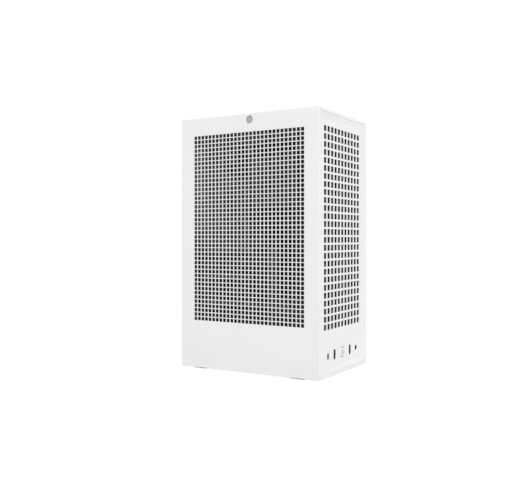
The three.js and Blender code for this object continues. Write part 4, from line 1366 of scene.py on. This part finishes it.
def rear_inlet():
    low, high, middle, size = measures("mains_inlet")
    mains_socket("mains_inlet", REAR, (middle.x, high.y, middle.z), (36, 26), 16, ["mains_inlet"])


def supply_socket():
    node = "power_supply_socket"
    low, high, middle, size = measures(node)
    rocker = middle_of("power_supply_rocker")
    mains_socket("supply_inlet", LEFT, (low.x, middle.y, high.z - 14), (29, 27.6), 15, [node])
    stand = facing(LEFT, (low.x, rocker.y, rocker.z))
    bm = bmesh.new()
    outer, inner = rectangle(29.6, 27.6, (0, 0), 1.5, 3), rectangle(14, 21, (0, 0), 1.5, 3)
    tube(bm, outer, inner, -2, 0, stand)
    outer, inner = rectangle(17, 24, (0, 0), 1.5, 3), rectangle(14.2, 21.2, (0, 0), 1.4, 3)
    tube(bm, outer, inner, -13, -1, stand)
    finished("supply_rocker_well", bm, BLACK_ABS, "chassis", modifiers=[rounding(0.3)])


def supply_rocker():
    node = "power_supply_rocker"
    low, high, middle, size = measures(node)
    half, deep = size.z / 2, size.x / 2
    profile = [(-half, deep), (0, deep - 2.0), (half, deep), (half * 0.8, -deep), (-half * 0.8, -deep)]
    bm = bmesh.new()
    to_side = Matrix(((0, -1, 0), (0, 0, 1), (1, 0, 0))).to_4x4()
    to_side.translation = middle
    prism(bm, profile, -6.2, 6.2, to_side)
    finished(node + "_moulding", bm, BLACK_ABS, "rocker", [node], [rounding(0.5)])


rear_inlet()
supply_socket()
supply_rocker()

# %% [markdown]
# ## Rear sockets and covers
# The mainboard's rear sockets are a block of plated shells behind a thin stamped shield. The network
# sockets have a stepped mouth with eight spring contacts, and the USB-A sockets a blue or a black
# tongue. Two slotted covers with knurled thumb screws close the expansion slots.

# %% Rear sockets
# Each socket: height of its middle, how far it stands off the board, width, height, kind.
REAR_SOCKETS = [
    (240, 12, 13.5, 16, "network"),
    (262, 12, 13.5, 16, "network"),
    (286, 6, 6.4, 14, "usb"),
    (286, 18, 6.4, 14, "usb"),
    (308, 6, 6.4, 14, "usb"),
    (308, 18, 6.4, 14, "usb"),
    (334, 7, 6, 15, "display"),
]


def socket_place(up, off):
    """The middle of a rear socket in the rear side's own drawing."""
    board_face = box_mm("mainboard")[1].x - 1.6
    return (off - board_face, up)


def rear_sockets():
    low, high, middle, size = measures("rear_sockets")
    stand = facing(REAR, (0, high.y, 0))
    body, shells, tongues, contacts = (bmesh.new() for _ in range(4))
    for up, off, width, height, kind in REAR_SOCKETS:
        at = socket_place(up, off)
        inner = rectangle(width, height, at, 0.3, 3)
        tube(shells, rectangle(width + 1.0, height + 1.0, at, 0.6, 3), inner, -17, 0, stand)
        prism(shells, inner, -17, -14, stand)
        if kind == "network":
            notch = rectangle(2.4, 6, (at[0] + width / 2 - 1.2, at[1]), 0.2, 2)
            prism(shells, notch, -13, -0.6, stand)
            pin = bmesh.new()
            prism(pin, rectangle(5.0, 0.35, (at[0] - 3.4, at[1] - 3.6)), -11, -10.4)
            wires = grow(ROW, to_mesh(pin), Count=8, Step=(0, 1.02, 0))
            wires.transform(stand)
            contacts.from_mesh(wires)
        else:
            bar = rectangle(1.9 if kind == "usb" else 3.0, height - 3, (at[0] + 1.0, at[1]), 0.2, 2)
            prism(tongues, bar, -14, -1.2, stand)
    brick(body, low, (high.x, high.y - 17, high.z))
    face = rectangle(size.x, size.z, (-middle.x, middle.z), 0.5, 2)
    holes = [rectangle(w + 0.6, h + 0.6, socket_place(u, o), 0.4, 3) for u, o, w, h, k in REAR_SOCKETS]
    add_plate(body, facing(REAR, (0, high.y - 0.4, 0)), face, holes, wall=16.5)
    finished("rear_sockets_block", body, BLACK_ABS, "chassis", ["rear_sockets"], turn_out=False)
    finished("rear_sockets_shells", shells, PLATED_STEEL, "chassis")
    finished("rear_sockets_tongues", tongues, BLUE_NYLON, "chassis")
    finished("rear_sockets_contacts", contacts, GOLD, "chassis")


def rear_plate(node, finish, corner, cuts, patches, wall):
    """A thin flat plate on the outside of the rear frame."""
    low, high, middle, size = measures(node)
    bm = sheet(rectangle(size.x, size.z, (-middle.x, middle.z), corner, 3), cuts, patches)
    stand = facing(REAR, (0, high.y, 0))
    finished(node + "_plate", bm, finish, "chassis", [node], [thickness(wall)], stand, False)


def socket_shield():
    cuts = [rectangle(w + 1.2, h + 1.2, socket_place(u, o), 0.5, 3) for u, o, w, h, k in REAR_SOCKETS]
    vents = patch(4, 3, (-middle_of("socket_shield").x, 361), (6, 6), (3.6, 3.6), 0.4)
    rear_plate("socket_shield", PLATED_STEEL, 1, cuts, [vents], 0.8)


rear_sockets()
socket_shield()

# %% [markdown]
# A slot cover has two rows of slots. A thumb screw has a knurled head: one ridge is drawn, and the
# ring tree sets down forty of them.


# %% Slot covers and thumb screws
def slot_cover(number):
    node = f"slot_cover_{number}"
    x, screw = -middle_of(node).x, middle_of(f"thumb_screw_{number}")
    slots = [(x + shift, 232 + 13.5 * i) for i in range(7) for shift in (-3.6, 3.6)]
    cuts = [circle(2, (-screw.x, screw.z), 16), *(rectangle(4.2, 10.5, at, 2.0, 4) for at in slots)]
    rear_plate(node, WHITE_COAT, 1.5, cuts, [], 0.9)


def thumb_screw(number):
    node = f"thumb_screw_{number}"
    low, high, middle, size = measures(node)
    bm, ridge = bmesh.new(), bmesh.new()
    head = [(0, -0.5), (1.6, -0.5), (1.9, -0.1), (3.4, 0), (3.85, -0.5), (3.85, -3.6), (3.4, -4.0)]
    shank = [(1.6, -4.1), (1.6, 0.4 - size.y), (1.2, -size.y), (0, -size.y)]
    turned(bm, head + shank, Matrix(), 40)
    prism(ridge, [(3.6, -0.2), (4.1, -0.05), (4.1, 0.05), (3.6, 0.2)], -3.5, -0.6)
    bm.from_mesh(grow(RING, to_mesh(ridge), Count=40))
    stand = facing(REAR, (middle.x, high.y, middle.z))
    finished(node + "_turned", bm, PLATED_STEEL, "chassis", [node], matrix=stand)


for number in (1, 2):
    slot_cover(number)
    thumb_screw(number)

# %% [markdown]
# ## Screws and rivets
# Pan-head screws hold the fans, the supply and the feet. One screw head with a cross recess is drawn
# as an object, and the scatter tree puts it on every point of a small mesh that only has points.


# %% Screws
def screw_head(radius, height):
    """A pan head, drawn facing up, with a cross-shaped recess of straight walls."""
    bm = bmesh.new()
    cross = []
    for quarter in range(4):
        a = quarter * math.pi / 2
        for r, turn in ((radius * 0.5, -0.28), (radius * 0.5, 0.28), (radius * 0.2, math.pi / 4)):
            cross.append((r * math.cos(a + turn), r * math.sin(a + turn)))
    count = len(cross)
    dome = [(1, 0), (1, 0.3), (0.85, 0.7), (0.55, 0.95)]
    path = [(circle(radius * r, (0, 0), count), h) for r, h in dome] + [(cross, 0.95), (cross, 0.35)]
    rings = [ring_of(bm, outline, h * height, Matrix()) for outline, h in path]
    for near, far in zip(rings, rings[1:]):
        join_rings(bm, near, far)
    bm.faces.new(rings[-1])
    bm.faces.new(list(reversed(rings[0])))
    bmesh.ops.recalc_face_normals(bm, faces=bm.faces[:])
    return to_mesh(bm, "screw_head")


def screws(name, side, face, spots, radius=2.9, height=1.8):
    """Screw heads on a side: face is how far out the surface lies, spots are in its drawing."""
    head = bpy.data.objects.new("screw_head", screw_head(radius, height))
    points = bpy.data.meshes.new("spots")
    points.from_pydata([(x, y, 0) for x, y in spots], [], [])
    mesh = grow(SCATTER, points, Part=head)
    bpy.data.objects.remove(head)
    origin = Vector(side[2]) * face
    finished(name, mesh, PLATED_STEEL, "chassis", matrix=facing(side, origin))


def framed_fan_screws(side, sign, face, height):
    fan = middle_of(f"{side}_fan_frame")
    spots = corners((sign * fan.x, fan.z), FAN_SCREWS)
    screws(f"{side}_fan_screws", REAR if side == "rear" else FRONT, face, spots, 3.4, height)


framed_fan_screws("rear", -1, box_mm("rear_frame")[1].y, 2.2)
framed_fan_screws("front", 1, -box_mm("front_frame")[0].y, 2.0)
inlet = middle_of("mains_inlet")
spots = [(15.2 * sign - inlet.x, inlet.z) for sign in (-1, 1)]
screws("inlet_screws", REAR, box_mm("mains_inlet")[1].y, spots, 1.9, 1.0)
for name, side, sign in (("left", LEFT, -1), ("right", RIGHT, 1)):
    spots = [(sign * y, z) for y in (-108, 114) for z in (100, 200, 300)]
    screws(name + "_frame_screws", side, 85, spots, 2.8, 1.6)

# %% [markdown]
# ## Drive cage, sleds and drives
# The cage is a folded box with vented ends. Its sleds are black mouldings with a finger opening. A
# 3.5 inch drive is a cast aluminium tray under a pressed lid: the lid has a raised round stage over
# the discs, a smaller boss over the arm's pivot, and screws round its rim.


# %% Drive cage
SLED_BOTTOM = 66  # how high the lowest shelf of the cage is


def drive_cage():
    low, high, middle, size = measures("drive_cage")
    bm = bmesh.new()
    full = rectangle(size.x, size.z, (0, middle.z))
    doors = [rectangle(26, 44, (x, 36), 6, 5) for x in (-48, -16, 16, 48)]
    air = patch(19, 17, (0, 132), **VENT)
    for side, face in ((FRONT, low.y), (REAR, high.y)):
        add_plate(bm, facing(side, (0, face, 0)), full, doors, [air])
    level = rectangle(size.x, size.y - 2 * SHEET_MM - 0.1)
    openings = [rectangle(60, 80, (x, 0), 8, 5) for x in (-33, 33)]
    for side, face in ((TOP, high.z), (UNDER, SLED_BOTTOM)):
        add_plate(bm, facing(side, (0, middle.y, face)), level, openings)
    finished("drive_cage_sheet", bm, WHITE_COAT, "chassis", ["drive_cage"], turn_out=False)


# %% [markdown]
# A sled is a floor with two rails. Its face has a framed finger opening with a row of slats above.


# %% Drive sled
def drive_sled(number):
    node = f"drive_sled_{number}"
    low, high, middle, size = measures(node)
    bm = bmesh.new()
    floor = rectangle(145, size.y, (-2.5, middle.y), 2, 3)
    opening = rectangle(115, 40, (-2.5, middle.y), 6, 5)
    add_plate(bm, facing(TOP, (0, 0, low.z + 1.5)), floor, [opening], wall=1.5)
    for y in (low.y, high.y - 3):
        brick(bm, (-75, y, low.z + 1), (70, y + 3, low.z + 16))
    finger = rectangle(36, 14, (-middle.y, low.z + 19), 4, 5)
    slats = [rectangle(2.4, 6, (shift - middle.y, low.z + 31), 1.1, 3) for shift in range(-42, 43, 6)]
    face = rectangle(size.y, size.z, (-middle.y, middle.z), 2, 3)
    add_plate(bm, facing(LEFT, (low.x, 0, 0)), face, [finger, *slats], wall=3.2)
    finished(node + "_moulding", bm, BLACK_ABS, "chassis", [node], turn_out=False)


# %% [markdown]
# The drive's stage, boss and hub are low discs, each turned from the same kind of profile.


# %% Hard drive
def hard_drive(number):
    node = f"hard_drive_{number}"
    low, high, middle, size = measures(node)
    casting, lid = bmesh.new(), bmesh.new()
    tray = rectangle(size.x, size.y, (middle.x, middle.y), 2.5, 4)
    prism(casting, tray, low.z, high.z - 3.2)
    finished(node + "_casting", casting, CAST_ALUMINIUM, "chassis", [node], [rounding(0.5)])
    plate = rectangle(size.x - 4, size.y - 4, (middle.x, middle.y), 6, 5)
    prism(lid, plate, high.z - 3.1, high.z - 1.6)
    spindle, pivot = (low.x + 62, middle.y), (low.x + 124, middle.y - 24)
    # Each disc: its place, how far below the top it lies, its profile and its steps.
    discs = [
        (spindle, 0.6, [(45, 0), (46.6, -0.8), (46.6, -1.4)], 64),
        (pivot, 0.6, [(11, 0), (12, -0.6), (12, -1.2)], 40),
        (spindle, 0, [(17, 0), (17.6, -0.3), (17.6, -0.6)], 48),
    ]
    for at, below, edge, steps in discs:
        profile = [(0, 0), *edge, (0, edge[-1][1])]
        turned(lid, profile, facing(TOP, (*at, high.z - below)), steps)
    finished(node + "_lid", lid, MILLED_ALUMINIUM, "chassis")
    spots = corners((middle.x, middle.y), size.x / 2 - 6, size.y / 2 - 6)
    spots += [(middle.x, middle.y + b * (size.y / 2 - 5)) for b in (-1, 1)]
    screws(node + "_lid_screws", TOP, high.z - 1.6, spots, 2.2, 0.9)


drive_cage()
for number in (1, 2, 3):
    drive_sled(number)
    hard_drive(number)

# %% [markdown]
# ## Small boards
# The backplane joins the three drives, the port board carries the front sockets' headers, and the
# supply has a board of its own with a capacitor and two heat sinks.


# %% Backplane and boards
def board(name, replaces, low, high):
    """A circuit board between two corners."""
    bm = bmesh.new()
    brick(bm, low, high)
    finished(name, bm, SOLDER_MASK, "chassis", replaces, [rounding(0.15, 1)])


def blocks(name, finish, parts, round_mm=0.3):
    """Small moulded blocks that share a finish, such as sockets on a board."""
    bm = bmesh.new()
    for low, high in parts:
        brick(bm, low, high)
    finished(name, bm, finish, "chassis", modifiers=[rounding(round_mm)])


def backplane():
    low, high = box_mm("backplane")
    drives = [middle_of(f"hard_drive_{n}") for n in (1, 2, 3)]
    board("backplane_board", ["backplane"], (high.x - 1.6, low.y, low.z), high)
    sockets = [((low.x, d.y - 22, d.z - 9), (high.x - 1.7, d.y + 22, d.z - 3)) for d in drives]
    blocks("backplane_sockets", BLACK_ABS, sockets)


def port_board():
    low, high = box_mm("port_board")
    board("port_board_plate", ["port_board"], low, high)
    switch_low, switch_high, middle, size = measures("power_switch")
    stand = facing(FRONT, (middle.x, switch_high.y, middle.z))
    bm = bmesh.new()
    prism(bm, rectangle(12, 12, (0, 0), 0.8, 3), 0, size.y - 1.5, stand)
    prism(bm, circle(2.5, (0, 0), 24), 5, size.y, stand)
    finished("power_switch_moulding", bm, BLACK_ABS, "chassis", ["power_switch"], [rounding(0.25)])
    headers = [((x - 9, high.y + 0.1, high.z - 12), (x + 9, high.y + 8, high.z - 5)) for x in (-40, 34)]
    blocks("port_board_headers", BLACK_ABS, headers)


def supply_board():
    low, high = box_mm("power_supply_board")
    face = high.y - 1.6
    board("supply_board_plate", ["power_supply_board"], (low.x, face, low.z), high)
    core = [((-2, face - 24, 156), (24, face - 0.1, 192)), ((-32, face - 30, 132), (-28, face - 0.1, 176))]
    blocks("supply_board_sinks", MILLED_ALUMINIUM, core, 0.6)
    bm = bmesh.new()
    can = [(0, 0), (12, 0), (12.8, -0.8), (12.8, -2.4), (12.3, -3), (12.8, -3.6), (12.8, -27.9), (0, -27.9)]
    turned(bm, can, facing(FRONT, (26, face - 28, 222)), 40)
    finished("supply_board_capacitor", bm, BLACK_ABS, "chassis")


backplane()
port_board()
supply_board()

# %% [markdown]
# ## Mainboard, memory and cooler
# The mainboard stands upright behind the right panel. Along its front edge are the power and drive
# headers and two memory modules. The cooler is a stack of thin fins on four nickel-plated heat
# pipes, and the row tree lays its fins down.


# %% Mainboard
def mainboard():
    low, high = box_mm("mainboard")
    face = high.x - 1.6
    y0, z0 = low.y, low.z
    board("mainboard_plate", ["mainboard"], (face, y0, z0), high)
    headers = [
        ((face - 8, y0 + 2, z0 + 40), (face - 0.1, y0 + 12, z0 + 92)),
        ((face - 6, y0 + 22, z0 + 6), (face - 0.1, y0 + 110, z0 + 14)),
        ((face - 5, y0 + 2, z0 + 100), (face - 0.1, y0 + 12, z0 + 126)),
    ]
    blocks("mainboard_headers", BLACK_ABS, headers)
    # Voltage regulators beside the processor, under a ribbed heat sink, and a row of capacitors.
    fin = bmesh.new()
    brick(fin, (face - 5, 86, 336), (face - 0.2, 94, 337.2))
    fins = grow(ROW, to_mesh(fin), Count=12, Step=(0, 0, 3.2))
    finished("regulator_fins", fins, MILLED_ALUMINIUM, "chassis")
    can = bmesh.new()
    profile = [(0, 0), (2.2, 0), (2.5, -0.3), (2.5, -5), (0, -5)]
    turned(can, profile, facing(LEFT, (face - 5.1, y0 + 30, z0 + 150)), 16)
    cans = grow(ROW, to_mesh(can), Count=8, Step=(0, 7, 0))
    finished("mainboard_capacitors", cans, PLATED_STEEL, "chassis")


def memory_module(number):
    name = f"memory_module_{number}"
    low, high = box_mm(name)
    middle = (low + high) / 2
    board(name + "_plate", [name], (low.x, middle.y - 0.7, 240), (high.x - 0.1, middle.y + 0.7, 373))
    chip = bmesh.new()
    brick(chip, (low.x + 4, middle.y - 1.8, 246), (low.x + 16, middle.y + 1.8, 256))
    chips = grow(ROW, to_mesh(chip), Count=8, Step=(0, 0, 15.5))
    finished(name + "_chips", chips, BLACK_ABS, "chassis", modifiers=[rounding(0.1, 1)])
    slot = [((high.x - 7.7, middle.y - 3, 236), (high.x, middle.y + 3, 377))]
    blocks(name + "_slot", BLACK_ABS, slot)


def processor_cooler():
    low, high, middle, size = measures("processor_heatsink")
    fin = bmesh.new()
    outline = rectangle(29, size.y - 0.4, (low.x + 14.5, middle.y), 2, 3)
    prism(fin, outline, low.z + 0.2, low.z + 0.7)
    step = (size.z - 0.9) / 34
    fins = grow(ROW, to_mesh(fin), Count=35, Step=(0, 0, step))
    finished("cooler_fins", fins, MILLED_ALUMINIUM, "chassis", ["processor_heatsink"])
    base = [((high.x - 9, middle.y - 30, middle.z - 30), (high.x - 4, middle.y + 30, middle.z + 30))]
    base += [((high.x - 5, middle.y - 20, middle.z - 20), (high.x, middle.y + 20, middle.z + 20))]
    blocks("cooler_base", MILLED_ALUMINIUM, base, 0.4)
    pipes = bmesh.new()
    for y in (-24, -8, 8, 24):
        for x in (low.x + 8, low.x + 20):
            at = facing(TOP, (x, middle.y + y, 0))
            foot_end = [(0, 0.1), (2.2, 0.1), (2.9, 0.9)]
            far_end = [(r, size.z - h) for r, h in reversed(foot_end)]
            turned(pipes, [(r, low.z + h) for r, h in foot_end + far_end], at, 20)
    finished("cooler_heat_pipes", pipes, PLATED_STEEL, "chassis")


mainboard()
memory_module(1)
memory_module(2)
processor_cooler()

# %% [markdown]
# ## Studio
# The enclosure stands on a white light table in even, soft light. The table glows almost as white as
# the background, so only a faint shadow is left under the feet. The sky is brighter near the horizon
# than overhead, and one wide soft lamp stands up and to the left of the front. Together they give the
# sloped border its different shades. The picture has the plain colours, with no film curve.

# %% Light table
TABLE_GLOW = 0.61  # what the table sends to the object, less than what the camera sees


def light_table():
    mesh = bpy.data.meshes.new("light_table")
    half = 40.0
    square = [(-half, -half, 0), (half, -half, 0), (half, half, 0), (-half, half, 0)]
    mesh.from_pydata(square, [], [(0, 1, 2, 3)])
    material, tree, bsdf, where = new_finish(
        "glowing_white_table",
        "light_table",
        Roughness=1.0,
        Base_Color=(0.07, 0.07, 0.07, 1),
        Specular_IOR_Level=0.0,
        Emission_Color=(1, 1, 1, 1),
    )
    seen = add(tree, "ShaderNodeLightPath").outputs["Is Camera Ray"]
    levels = {"Value": seen, "To Min": TABLE_GLOW, "To Max": 0.95}
    glow = add(tree, "ShaderNodeMapRange", levels).outputs[0]
    tree.links.new(glow, bsdf.inputs["Emission Strength"])
    mesh.materials.append(material)
    table = bpy.data.objects.new("light_table", mesh)
    bpy.context.scene.collection.objects.link(table)


light_table()

# %% World and lamp
HORIZON_GLOW, ZENITH_GLOW = 1.23, 0.53


def world_light():
    world = bpy.data.worlds.new("studio")
    bpy.context.scene.world = world
    world.use_nodes = True
    tree = world.node_tree
    tree.nodes.clear()
    where = add(tree, "ShaderNodeTexCoord").outputs["Generated"]
    up = add(tree, "ShaderNodeSeparateXYZ", {"Vector": where}).outputs["Z"]
    falloff = {"Value": up, "To Min": HORIZON_GLOW, "To Max": ZENITH_GLOW}
    sky = add(tree, "ShaderNodeMapRange", falloff).outputs[0]
    seen = add(tree, "ShaderNodeLightPath").outputs["Is Camera Ray"]
    levels = {"Value": seen, "To Min": sky, "To Max": 1.0}
    strength = add(tree, "ShaderNodeMapRange", levels).outputs[0]
    back = add(tree, "ShaderNodeBackground", {"Color": (1, 1, 1, 1), "Strength": strength})
    add(tree, "ShaderNodeOutputWorld", {"Surface": back.outputs[0]})


def wide_lamp(name, towards, spread_degrees, strength):
    """Parallel light from a wide patch of the sky, as a big diffuser far away gives."""
    lamp = bpy.data.objects.new(name, bpy.data.lights.new(name, "SUN"))
    lamp.data.angle = math.radians(spread_degrees)
    lamp.data.energy = strength
    lamp.rotation_mode = "QUATERNION"
    lamp.rotation_quaternion = Vector(towards).to_track_quat("Z", "Y")
    bpy.context.scene.collection.objects.link(lamp)


world_light()
wide_lamp("key_lamp", (-0.5, -0.6, 0.62), 60, 1.17)
bpy.context.scene.view_settings.view_transform = "Standard"
bpy.context.scene.view_settings.look = "None"
